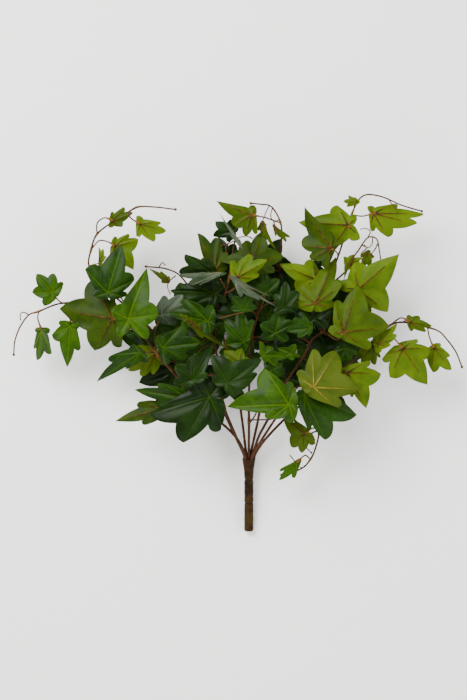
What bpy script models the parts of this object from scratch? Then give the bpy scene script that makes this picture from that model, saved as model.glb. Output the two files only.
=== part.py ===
"""Artificial ivy bush: a ringed stem, nine wired vines with leaf stalks, and fifty pressed leaves.

The bush lies on its back. In the plan, X runs to the right, Y from the stem's end towards the leaves
and Z up from the surface that it lies on. Plan sizes are in millimetres.
"""
import math

import bmesh
import bpy
from mathutils import Vector

MM = 0.001

# The stem
STEM_LENGTH = 90.0
STEM_RADIUS = 5.6
STEM_TOP_RADIUS = 8.2
STEM_END_HEIGHT = 5.9
STEM_TOP_HEIGHT = 22.0
GROOVE_DEPTH = 0.9
GROOVE_HALF_WIDTH = 1.6
GROOVES = (35.0, 63.5)
STEM_SIDES = 20

# The vines and stalks
VINE_RADIUS = 1.5
VINE_TIP_RADIUS = 0.9
STALK_RADIUS = 0.75
VINE_STEP = 22.0
STALK_STEP = 15.0

# The leaves
LEAF_THICKNESS = 0.8
LEAF_RINGS = (0.5, 1.0)
NOTCH_DEPTH = 0.80
LOBE_BOW = 0.12
CLEFT_DEPTH = 0.40
CLEFT_BOW = 0.30
SMALLEST_REACH = 4.5
LEAF_GAP = 0.9

COLOURS = {
    "leaf_top": ((0.012, 0.075, 0.012), 0.38),
    "leaf_under": ((0.10, 0.20, 0.025), 0.5),
    "vine_brown": ((0.16, 0.055, 0.03), 0.5),
    "stem_brown": ((0.06, 0.04, 0.012), 0.6),
}

# Each leaf: name, hub where the stalk meets it (x, y, z), bearing of the stalk seen from the hub in degrees,
# slope of the blade (rise along X, rise along Y), droop of the tips, tips of the lobes (x, y), side that shows.
LEAVES = (
    # far left vine
    ("leaf_far_left_1", (-236, 288, 74), -45, (0.1, 0.1), 5, ((-255, 311), (-233, 311), (-223, 297),
     (-243, 273), (-260, 288)), "top"),
    ("leaf_far_left_2", (-250, 243, 52), 100, (1.1, 0.0), 4, ((-256, 207), (-237, 216), (-241, 246),
     (-257, 246), (-260, 224)), "top"),
    ("leaf_far_left_3", (-215, 248, 66), 80, (0.2, 0.1), 6, ((-219, 199), (-202, 223), (-205, 252),
     (-225, 255), (-237, 238)), "top"),
    ("leaf_left_1", (-164, 257, 84), -10, (0.1, 0.1), 8, ((-228, 269), (-188, 304), (-160, 277),
     (-152, 228), (-185, 219)), "under"),
    ("leaf_left_2", (-169, 288, 95), -75, (0.1, 0.0), 8, ((-152, 346), (-137, 303), (-150, 283),
     (-184, 283), (-196, 316)), "top"),
    ("leaf_left_3", (-144, 257, 108), -70, (-0.1, 0.15), 8, ((-122, 318), (-108, 262), (-125, 233),
     (-155, 236), (-164, 266)), "top"),
    ("leaf_left_4", (-112, 215, 54), 55, (0.1, 0.2), 4, ((-128, 188), (-114, 191), (-100, 204),
     (-98, 216), (-130, 226), (-146, 195)), "under"),
    ("leaf_left_5", (-131, 217, 78), 20, (0.1, 0.5), 6, ((-184, 181), (-142, 199), (-121, 207),
     (-137, 226), (-166, 213)), "top"),
    ("leaf_left_6", (-103, 223, 92), 200, (0.1, 0.2), 6, ((-58, 228), (-78, 251), (-112, 233),
     (-102, 204), (-77, 208)), "top"),
    ("leaf_left_7", (-105, 261, 70), -110, (0.1, 0.3), 4, ((-80, 286), (-73, 272), (-92, 250),
     (-121, 262), (-104, 284)), "top"),
    # upper left vine
    ("leaf_upper_left_1", (-163, 374, 74), 190, (0.1, 0.2), 3, ((-139, 384), (-151, 391), (-166, 383),
     (-168, 367), (-153, 367)), "under"),
    ("leaf_upper_left_2", (-130, 370, 90), 150, (0.1, 0.0), 4, ((-99, 362), (-107, 373), (-134, 380),
     (-135, 358), (-115, 349)), "under"),
    ("leaf_upper_left_3", (-161, 344, 60), 160, (0.2, 0.1), 5, ((-139, 316), (-168, 328), (-163, 354),
     (-146, 359), (-133, 353)), "under"),
    # middle left vine
    ("leaf_middle_left_1", (-40, 288, 66), 0, (-0.1, 0.1), 6, ((-95, 291), (-74, 300), (-46, 305),
     (-26, 299), (-27, 279), (-44, 268), (-72, 272)), "top"),
    ("leaf_middle_left_2", (-49, 254, 84), -10, (0.0, 0.1), 6, ((-96, 264), (-76, 281), (-42, 270),
     (-46, 238), (-79, 248)), "top"),
    ("leaf_middle_left_3", (-66, 185, 117), -60, (0.0, 0.1), 8, ((-66, 214), (-42, 225), (-52, 186),
     (-87, 177), (-89, 200)), "top"),
    ("leaf_middle_left_4", (-47, 164, 104), -10, (0.0, 0.0), 9, ((-78, 109), (-120, 143), (-60, 186),
     (-26, 190), (-33, 130)), "top"),
    ("leaf_middle_left_5", (-71, 162, 88), -5, (0.0, 0.2), 6, ((-137, 172), (-104, 180), (-74, 176),
     (-58, 171), (-60, 150), (-77, 146), (-106, 151)), "top"),
    ("leaf_middle_left_6", (-106, 149, 74), 10, (0.0, 0.1), 5, ((-161, 134), (-130, 158), (-104, 163),
     (-100, 136), (-122, 130)), "under"),
    # centre left vine
    ("leaf_centre_left_1", (4, 325, 84), -90, (0.0, 0.1), 7, ((14, 361), (-6, 349), (-35, 326),
     (25, 312), (42, 331)), "under"),
    ("leaf_centre_left_2", (-14, 306, 98), 200, (0.0, 0.1), 4, ((-1, 334), (22, 327), (10, 306),
     (-14, 293), (-23, 322)), "under"),
    ("leaf_centre_left_3", (-41, 316, 70), -60, (0.1, 0.1), 6, ((-62, 360), (-36, 353), (-25, 334),
     (-28, 316), (-53, 308), (-57, 324)), "under"),
    ("leaf_centre_left_4", (-43, 310, 94), 30, (0.2, 0.6), 4, ((-84, 312), (-76, 334), (-46, 326),
     (-36, 300), (-66, 297)), "top"),
    ("leaf_centre_left_5", (-20, 362, 72), -20, (0.0, 0.2), 3, ((-43, 356), (-40, 374), (-20, 376),
     (-12, 370), (-22, 350)), "top"),
    ("leaf_centre_left_6", (-6, 229, 84), 0, (0.1, 0.2), 5, ((-30, 254), (-10, 266), (7, 254),
     (-6, 216), (-28, 226)), "top"),
    # centre vine
    ("leaf_centre_1", (31, 240, 80), -80, (0.0, 0.3), 5, ((37, 269), (55, 252), (44, 230),
     (16, 232), (13, 250)), "top"),
    ("leaf_centre_2", (41, 270, 90), -60, (0.1, 0.1), 5, ((43, 302), (60, 288), (56, 266),
     (31, 262), (29, 284)), "top"),
    ("leaf_centre_3", (20, 288, 74), -90, (0.0, 0.2), 5, ((17, 313), (37, 304), (36, 284),
     (4, 279), (1, 299)), "top"),
    ("leaf_centre_4", (-25, 180, 120), 215, (0.1, 0.1), 8, ((15, 209), (8, 188), (-13, 156),
     (-41, 180), (-47, 214)), "top"),
    ("leaf_centre_5", (47, 155, 132), 0, (0.1, 0.0), 9, ((-26, 152), (19, 198), (53, 176),
     (53, 135), (26, 138)), "top"),
    # centre arch vine
    ("leaf_arch_1", (3, 381, 88), 10, (0.0, 0.1), 4, ((-39, 398), (8, 391), (10, 362),
     (-4, 356), (-18, 368)), "under"),
    # upper right vine
    ("leaf_upper_right_1", (149, 383, 84), 165, (0.1, 0.0), 5, ((209, 383), (173, 395), (142, 391),
     (145, 366), (166, 355), (199, 370)), "under"),
    ("leaf_upper_right_2", (118, 369, 86), 0, (0.0, 0.1), 7, ((59, 373), (106, 393), (129, 378),
     (133, 355), (98, 339)), "under"),
    ("leaf_upper_right_3", (97, 341, 104), -30, (0.0, 0.1), 7, ((66, 390), (100, 358), (107, 346),
     (94, 318), (74, 328), (63, 344)), "under"),
    ("leaf_upper_right_4", (130, 292, 92), 200, (0.1, 0.1), 8, ((179, 334), (125, 323), (107, 295),
     (139, 267), (166, 265)), "under"),
    ("leaf_upper_right_5", (80, 304, 76), -20, (0.0, 0.1), 6, ((36, 323), (76, 328), (90, 312),
     (76, 286), (58, 291)), "under"),
    ("leaf_upper_right_6", (79, 275, 98), -100, (0.0, 0.0), 7, ((104, 331), (111, 297), (98, 270),
     (57, 271), (55, 291)), "under"),
    ("leaf_upper_right_7", (78, 257, 84), -80, (0.1, 0.2), 6, ((88, 288), (102, 270), (92, 246),
     (62, 246), (56, 268)), "top"),
    ("leaf_upper_right_8", (112, 241, 110), -110, (0.0, 0.0), 9, ((130, 298), (168, 247), (137, 221),
     (96, 240), (101, 275)), "under"),
    # lower right vine
    ("leaf_right_1", (194, 253, 66), 170, (0.1, 0.1), 4, ((220, 249), (203, 261), (190, 261),
     (193, 244), (211, 241)), "under"),
    ("leaf_right_2", (184, 221, 80), 140, (0.1, 0.0), 6, ((214, 178), (217, 222), (197, 232),
     (162, 212), (169, 187)), "under"),
    ("leaf_right_3", (222, 222, 62), 110, (0.1, 0.0), 5, ((244, 196), (241, 215), (228, 228),
     (207, 214), (221, 193)), "under"),
    ("leaf_right_4", (118, 193, 92), 110, (0.1, 0.0), 7, ((140, 150), (158, 191), (139, 206),
     (104, 190), (120, 166)), "under"),
    # hanging vine
    ("leaf_hanging_1", (77, 175, 120), 225, (0.0, 0.0), 9, ((104, 218), (132, 173), (101, 153),
     (58, 188), (75, 220)), "under"),
    ("leaf_hanging_2", (65, 167, 98), 120, (0.1, 0.0), 8, ((91, 112), (129, 142), (101, 176),
     (80, 184), (52, 160), (69, 127)), "top"),
    ("leaf_hanging_3", (66, 119, 84), 20, (0.0, 0.1), 5, ((40, 139), (58, 134), (79, 110),
     (64, 96), (50, 104)), "under"),
    ("leaf_hanging_4", (57, 85, 58), 40, (0.2, 0.1), 3, ((36, 62), (40, 78), (57, 69)), "top"),
    # leaves at the back, which the bush lies on
    ("leaf_back_left", (-64, 262, 12), 0, (0.0, 0.0), 11, ((-112, 268), (-84, 302), (-48, 292),
     (-42, 234), (-86, 228)), "top"),
    ("leaf_back_right", (98, 236, 12), 180, (0.0, 0.0), 11, ((146, 230), (118, 198), (84, 210),
     (82, 262), (114, 276)), "top"),
    ("leaf_back_top", (4, 292, 12), -90, (0.0, 0.0), 11, ((8, 342), (44, 316), (34, 278),
     (-26, 278), (-38, 314)), "top"),
)

# Each vine: its route and its stalks. A stalk starts on the route and ends short of its leaf's hub.
VINES = {
    "vine_far_left": (
        ((-4, 92, 23), (-12, 109, 28), (-22, 121, 32), (-36, 134, 38), (-71, 165, 50), (-89, 190, 56),
         (-111, 216, 70), (-123, 232, 72), (-139, 245, 76), (-159, 254, 70), (-202, 273, 62),
         (-218, 276, 62), (-233, 274, 60), (-253, 266, 56), (-265, 262, 52), (-275, 249, 47),
         (-280, 238, 44), (-283, 228, 41), (-284, 214, 38)),
        (((-218, 276, 62), (-226, 277, 66), (-235, 286, 73)),
         ((-253, 266, 56), (-254, 257, 57), (-250, 245, 53)),
         ((-205, 273, 62), (-213, 266, 60), (-215, 250, 63)),
         ((-159, 254, 70), (-155, 256, 78), (-162, 257, 83)),
         ((-139, 245, 76), (-146, 268, 80), (-156, 286, 88), (-167, 289, 92)),
         ((-130, 238, 74), (-136, 244, 92), (-144, 255, 105)),
         ((-95, 197, 59), (-104, 204, 57), (-111, 214, 56)),
         ((-111, 216, 70), (-122, 217, 73), (-129, 217, 75)),
         ((-111, 216, 70), (-110, 219, 80), (-105, 222, 90)),
         ((-111, 216, 70), (-113, 240, 66), (-106, 259, 66)))),
    "vine_upper_left": (
        ((-6, 93, 18), (-18, 118, 19), (-40, 160, 22), (-90, 215, 26), (-140, 265, 34), (-180, 300, 42),
         (-193, 321, 46), (-190, 341, 50), (-183, 359, 54), (-165, 373, 60), (-150, 382, 66),
         (-134, 391, 72), (-113, 391, 76), (-88, 388, 78)),
        (((-183, 359, 54), (-182, 372, 70), (-173, 378, 78), (-164, 375, 77)),
         ((-134, 391, 72), (-144, 384, 84), (-141, 377, 91), (-131, 371, 92)),
         ((-190, 341, 50), (-180, 351, 58), (-168, 349, 63), (-162, 345, 63)))),
    "vine_middle_left": (
        ((-5, 92, 27), (-18, 121, 34), (-30, 152, 42), (-36, 190, 48), (-42, 230, 54), (-58, 270, 56),
         (-80, 306, 56), (-99, 317, 58), (-124, 320, 60)),
        (((-52, 258, 56), (-38, 270, 56), (-39, 287, 62)),
         ((-42, 230, 54), (-40, 246, 68), (-47, 254, 83)),
         ((-36, 190, 48), (-72, 186, 70), (-74, 178, 98), (-67, 183, 113)),
         ((-30, 152, 42), (-34, 158, 74), (-45, 163, 102)),
         ((-32, 170, 45), (-50, 164, 66), (-69, 162, 87)),
         ((-30, 152, 42), (-60, 148, 56), (-104, 149, 73)))),
    "vine_centre_left": (
        ((-3, 92, 19), (-7, 125, 26), (-12, 160, 34), (-20, 195, 42), (-28, 225, 48), (-35, 250, 52),
         (-30, 280, 56), (-24, 305, 60), (-20, 335, 62), (-16, 355, 62)),
        (((-24, 305, 60), (-6, 310, 70), (3, 323, 83)),
         ((-24, 305, 60), (-17, 303, 80), (-16, 305, 96)),
         ((-28, 290, 57), (-38, 300, 62), (-41, 314, 67)),
         ((-28, 225, 48), (-12, 222, 64), (-6, 227, 82)))),
    "vine_centre": (
        ((0, 92, 24), (0, 125, 34), (0, 160, 44), (1, 195, 52), (4, 235, 58), (10, 260, 60),
         (12, 285, 62), (20, 300, 60)),
        (((4, 235, 58), (20, 236, 66), (30, 239, 78)),
         ((10, 260, 60), (20, 274, 70), (34, 276, 82), (40, 271, 86)),
         ((0, 150, 41), (-10, 166, 88), (-24, 178, 117)),
         ((0, 135, 37), (30, 138, 90), (46, 153, 129)))),
    "vine_centre_arch": (
        ((2, 92, 19), (9, 125, 24), (16, 160, 30), (24, 200, 36), (32, 245, 40), (37, 290, 46),
         (37, 320, 54), (39, 350, 64), (38, 372, 72), (27, 391, 80), (14, 394, 84), (2, 395, 88)),
        (((38, 372, 72), (20, 378, 80), (5, 381, 87)),)),
    "vine_upper_right": (
        ((5, 92, 23), (12, 115, 30), (26, 142, 42), (43, 179, 56), (64, 209, 64), (76, 232, 66),
         (89, 243, 68), (97, 262, 68), (99, 299, 68), (103, 320, 70), (112, 347, 72), (123, 382, 72),
         (136, 404, 72), (157, 404, 76), (183, 393, 78), (207, 386, 76)),
        (((123, 382, 72), (136, 380, 76), (148, 383, 83)),
         ((115, 356, 72), (124, 362, 80), (119, 368, 85)),
         ((103, 320, 70), (106, 334, 90), (99, 340, 103)),
         ((99, 299, 68), (112, 292, 80), (128, 291, 91)),
         ((98, 280, 68), (88, 296, 72), (82, 303, 75)),
         ((99, 296, 68), (100, 292, 84), (92, 285, 92), (81, 277, 95)),
         ((89, 243, 68), (83, 247, 73), (78, 254, 79)),
         ((89, 243, 68), (104, 232, 92), (111, 239, 108)))),
    "vine_lower_right": (
        ((7, 92, 19), (18, 109, 24), (42, 135, 34), (80, 168, 44), (118, 200, 54), (150, 232, 62),
         (169, 249, 64), (184, 253, 62), (203, 250, 58), (227, 243, 54), (237, 234, 52),
         (249, 218, 48), (257, 199, 44)),
        (((169, 249, 64), (182, 258, 70), (192, 254, 69)),
         ((160, 241, 63), (168, 240, 76), (176, 231, 84), (183, 222, 83)),
         ((215, 247, 56), (216, 238, 64), (219, 229, 66), (222, 223, 65)),
         ((100, 185, 49), (108, 196, 76), (116, 194, 91)))),
    "vine_hanging": (
        ((4, 92, 28), (16, 112, 42), (34, 140, 64), (52, 160, 80), (68, 158, 78), (80, 145, 72),
         (84, 123, 66), (81, 105, 60), (74, 88, 56), (62, 76, 50), (39, 69, 46)),
        (((52, 160, 80), (51, 167, 98), (62, 178, 112), (74, 175, 118)),
         ((44, 151, 73), (52, 164, 82), (63, 168, 94)),
         ((84, 123, 66), (76, 126, 78), (68, 120, 83)),
         ((74, 88, 56), (68, 93, 61), (62, 89, 62), (58, 85, 61)))),
}


def clear_scene():
    for thing in list(bpy.data.objects):
        bpy.data.objects.remove(thing)


def make_collection(name):
    collection = bpy.data.collections.new(name)
    bpy.context.scene.collection.children.link(collection)
    return collection


def make_material(name):
    colour, roughness = COLOURS[name]
    material = bpy.data.materials.new(name)
    material.use_nodes = True
    shader = material.node_tree.nodes["Principled BSDF"]
    shader.inputs["Base Color"].default_value = (*colour, 1.0)
    shader.inputs["Roughness"].default_value = roughness
    shader.inputs["Metallic"].default_value = 0.0
    return material


def smooth_route(points, step):
    """Points about one step apart on the smooth curve through the route's own points."""
    ends = [points[0] * 2 - points[1], *points, points[-1] * 2 - points[-2]]
    route = []
    for index in range(len(points) - 1):
        before, start, end, after = ends[index:index + 4]
        pieces = max(1, round((end - start).length / step))
        for piece in range(pieces):
            t = piece / pieces
            route.append(0.5 * (2 * start + (end - before) * t
                                + (2 * before - 5 * start + 4 * end - after) * t ** 2
                                + (3 * start - before - 3 * end + after) * t ** 3))
    route.append(points[-1])
    return route


def side_reach(reach, notch_reach, spread, bow):
    """How far the middle of a lobe's side is from the hub: its straight line, bowed out a little."""
    straight = 2 * reach * notch_reach / (reach + notch_reach) * math.cos(spread / 2)
    return straight * (1 + bow)


def leaf_outline(hub, stalk_bearing, tips):
    """The blade's edge, once round from the stalk: tip, side, notch, side for each lobe."""
    start = math.radians(stalk_bearing)

    def spoke(turn, reach):
        return hub + reach * Vector((math.cos(start + turn), math.sin(start + turn)))

    lobes = []
    for tip in tips:
        offset = Vector(tip) - hub
        lobes.append(((math.atan2(offset.y, offset.x) - start) % (2 * math.pi), offset.length))
    lobes.sort()
    lobes.append((lobes[0][0] + 2 * math.pi, lobes[0][1]))
    outline = []
    for (turn, reach), (next_turn, next_reach) in zip(lobes, lobes[1:]):
        if next_turn > 2 * math.pi:
            notch_turn = 2 * math.pi
            notch_reach = max(CLEFT_DEPTH * min(reach, next_reach), SMALLEST_REACH)
            bow = CLEFT_BOW
        else:
            notch_turn = (turn + next_turn) / 2
            chord = 2 * reach * next_reach / (reach + next_reach) * math.cos((next_turn - turn) / 2)
            notch_reach = max(NOTCH_DEPTH * chord, SMALLEST_REACH)
            bow = LOBE_BOW
        down = side_reach(reach, notch_reach, notch_turn - turn, bow)
        rise = side_reach(next_reach, notch_reach, next_turn - notch_turn, bow)
        outline += [spoke(turn, reach), spoke((turn + notch_turn) / 2, down), spoke(notch_turn, notch_reach),
                    spoke((notch_turn + next_turn) / 2, rise)]
    return outline


def add_leaf(collection, name, hub, stalk_bearing, slope, droop, tips, material):
    """A pressed blade: a fan round the hub and one ring, bent down towards its tips, then thickened."""
    centre = Vector(hub[:2])
    outline = leaf_outline(centre, stalk_bearing, tips)
    reach = max((point - centre).length for point in outline)
    work = bmesh.new()
    middle = work.verts.new(Vector(hub) * MM)
    rings = []
    for share in LEAF_RINGS:
        ring = []
        for point in outline:
            offset = (point - centre) * share
            height = hub[2] + offset.x * slope[0] + offset.y * slope[1]
            height -= droop * (offset.length / reach) ** 2
            ring.append(work.verts.new(Vector((centre.x + offset.x, centre.y + offset.y, height)) * MM))
        rings.append(ring)
    count = len(outline)
    inner, outer = rings
    for index in range(count):
        following = (index + 1) % count
        work.faces.new((middle, inner[index], inner[following]))
        work.faces.new((inner[index], outer[index], outer[following], inner[following]))
    mesh = bpy.data.meshes.new(name)
    work.to_mesh(mesh)
    work.free()
    mesh.shade_smooth()
    leaf = bpy.data.objects.new(name, mesh)
    collection.objects.link(leaf)
    leaf.data.materials.append(material)
    skin = leaf.modifiers.new("Thickness", "SOLIDIFY")
    skin.thickness = LEAF_THICKNESS * MM
    skin.offset = 0.0
    return leaf


def add_tube(collection, name, points, radii):
    """A round wire through the points, as a closed mesh."""
    curve = bpy.data.curves.new(name, "CURVE")
    curve.dimensions = "3D"
    curve.bevel_depth = MM
    curve.bevel_resolution = 1
    curve.use_fill_caps = True
    spline = curve.splines.new("POLY")
    spline.points.add(len(points) - 1)
    for index, (place, point) in enumerate(zip(points, spline.points)):
        share = index / (len(points) - 1)
        point.co = (*(place * MM), 1.0)
        point.radius = radii[0] + (radii[1] - radii[0]) * share
    source = bpy.data.objects.new(name + "_curve", curve)
    collection.objects.link(source)
    bpy.context.view_layer.update()
    depsgraph = bpy.context.evaluated_depsgraph_get()
    mesh = bpy.data.meshes.new_from_object(source.evaluated_get(depsgraph))
    work = bmesh.new()
    work.from_mesh(mesh)
    bmesh.ops.remove_doubles(work, verts=work.verts, dist=0.00001)
    bmesh.ops.recalc_face_normals(work, faces=work.faces)
    work.to_mesh(mesh)
    work.free()
    mesh.name = name
    mesh.shade_smooth()
    tube = bpy.data.objects.new(name, mesh)
    tube.matrix_world = source.matrix_world
    collection.objects.link(tube)
    bpy.data.objects.remove(source)
    return tube


def add_vine(parts, cutters, name, route, stalks, material):
    """One vine: the wire's route, joined with the stalks that branch from it."""
    points = smooth_route([Vector(point) for point in route], VINE_STEP)
    vine = add_tube(parts, name, points, (VINE_RADIUS, VINE_TIP_RADIUS))
    vine.data.materials.append(material)
    for number, stalk in enumerate(stalks, start=1):
        line = smooth_route([Vector(point) for point in stalk], STALK_STEP)
        end = line[-1]
        line[-1] = end + (line[-2] - end).normalized() * LEAF_GAP
        branch = add_tube(cutters, f"{name}_stalk_{number}", line, (STALK_RADIUS, STALK_RADIUS))
        branch.hide_render = True
        branch.display_type = "WIRE"
        join = vine.modifiers.new(f"Stalk {number}", "BOOLEAN")
        join.operation = "UNION"
        join.object = branch
    return vine


def groove_factor(along):
    """How deep the stem's skin is cut at this place, from 0 to 1."""
    depth = 0.0
    for groove in GROOVES:
        depth = max(depth, 1.0 - abs(along - groove) / GROOVE_HALF_WIDTH)
    return depth


def add_stem(collection, material):
    """The stem: a turned profile with two ring grooves, flared where the vines come out."""
    stations = {0.0, 0.6, STEM_LENGTH * 0.78, STEM_LENGTH * 0.9, STEM_LENGTH}
    for groove in GROOVES:
        stations |= {groove - GROOVE_HALF_WIDTH, groove, groove + GROOVE_HALF_WIDTH}
    profile = []
    for along in sorted(stations, reverse=True):
        flare = max(0.0, (along / STEM_LENGTH - 0.75) / 0.25)
        radius = STEM_RADIUS + (STEM_TOP_RADIUS - STEM_RADIUS) * flare ** 1.5
        radius -= GROOVE_DEPTH * groove_factor(along)
        if along == 0.0:
            radius -= 0.6
        profile.append((radius, along))
    profile = [(0.0, STEM_LENGTH), *profile, (0.0, 0.0)]
    mesh = bpy.data.meshes.new("stem_pick")
    vertices = [(radius * MM, 0.0, along * MM) for radius, along in profile]
    mesh.from_pydata(vertices, [(i, i + 1) for i in range(len(vertices) - 1)], [])
    stem = bpy.data.objects.new("stem_pick", mesh)
    collection.objects.link(stem)
    stem.data.materials.append(material)
    turn = stem.modifiers.new("Turn", "SCREW")
    turn.steps = STEM_SIDES
    turn.render_steps = STEM_SIDES
    turn.use_merge_vertices = True
    turn.merge_threshold = 0.00001
    turn.use_smooth_shade = True
    rise = math.asin((STEM_TOP_HEIGHT - STEM_END_HEIGHT) / STEM_LENGTH)
    stem.rotation_euler = (rise - math.pi / 2, 0.0, 0.0)
    stem.location = (0.0, 0.0, STEM_END_HEIGHT * MM)
    return stem


def stand_on_origin(holder, parts):
    """Move the whole bush so that its box's bottom centre is at the origin."""
    bpy.context.view_layer.update()
    depsgraph = bpy.context.evaluated_depsgraph_get()
    low = Vector((math.inf,) * 3)
    high = -low
    for piece in parts.objects:
        if piece.type != "MESH":
            continue
        shape = piece.evaluated_get(depsgraph)
        for vertex in shape.data.vertices:
            place = shape.matrix_world @ vertex.co
            low = Vector(map(min, low, place))
            high = Vector(map(max, high, place))
    holder.location = (-(low.x + high.x) / 2, -(low.y + high.y) / 2, -low.z)
    bpy.context.view_layer.update()


def main():
    clear_scene()
    parts = make_collection("ivy_bush")
    cutters = make_collection("cutters")
    materials = {name: make_material(name) for name in COLOURS}
    holder = bpy.data.objects.new("bush_origin", None)
    parts.objects.link(holder)
    add_stem(parts, materials["stem_brown"])
    for name, (route, stalks) in VINES.items():
        add_vine(parts, cutters, name, route, stalks, materials["vine_brown"])
    for name, hub, bearing, slope, droop, tips, side in LEAVES:
        add_leaf(parts, name, hub, bearing, slope, droop, tips, materials["leaf_" + side])
    for piece in [*parts.objects, *cutters.objects]:
        if piece is not holder:
            piece.parent = holder
    stand_on_origin(holder, parts)


main()
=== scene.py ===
"""Artificial ivy bush, lying on its back: the looks of its ringed stem, wired vines and printed leaves.

Plan sizes are in millimetres: X to the right, Y from the stem's end towards the leaves, and Z up.
"""
import math
import random

import bmesh
import bpy
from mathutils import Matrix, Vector


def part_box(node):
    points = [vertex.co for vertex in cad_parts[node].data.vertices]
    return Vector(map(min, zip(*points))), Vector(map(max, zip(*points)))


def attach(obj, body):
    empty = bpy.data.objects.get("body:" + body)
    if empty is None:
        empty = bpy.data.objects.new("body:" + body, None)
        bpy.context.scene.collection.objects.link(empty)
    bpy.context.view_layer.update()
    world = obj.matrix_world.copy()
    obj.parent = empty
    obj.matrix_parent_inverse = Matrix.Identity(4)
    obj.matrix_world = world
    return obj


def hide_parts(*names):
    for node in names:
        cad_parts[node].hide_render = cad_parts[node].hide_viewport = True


bl_info = {
    "name": "Artificial Ivy Bush",
    "version": (1, 0, 0),
    "blender": (4, 5, 0),
    "location": "View3D > Sidebar > Ivy Bush",
    "description": "Makes a bush of printed ivy leaves on wired vines, with its stem",
    "category": "Object",
}

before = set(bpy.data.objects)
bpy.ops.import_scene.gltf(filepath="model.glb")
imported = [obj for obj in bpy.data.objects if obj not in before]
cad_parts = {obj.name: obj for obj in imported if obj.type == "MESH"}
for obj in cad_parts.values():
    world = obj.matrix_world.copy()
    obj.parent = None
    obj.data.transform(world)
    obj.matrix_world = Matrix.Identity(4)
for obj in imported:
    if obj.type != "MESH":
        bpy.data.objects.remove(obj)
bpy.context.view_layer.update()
BODY = "root"
MM = 0.001

# The stem, as the frame holds it
STEM_LENGTH = 90.0
STEM_RADIUS = 5.6
STEM_TOP_RADIUS = 8.2
STEM_END_RADIUS = 5.0
STEM_END_HEIGHT = 5.9
STEM_TOP_HEIGHT = 22.0
STEM_RISE = math.asin((STEM_TOP_HEIGHT - STEM_END_HEIGHT) / STEM_LENGTH)

# The leaves, as the frame holds them
NOTCH_DEPTH = 0.80
LOBE_BOW = 0.12
CLEFT_DEPTH = 0.40
CLEFT_BOW = 0.30
SMALLEST_REACH = 4.5
NOTCH_ROUND = 0.14

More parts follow.
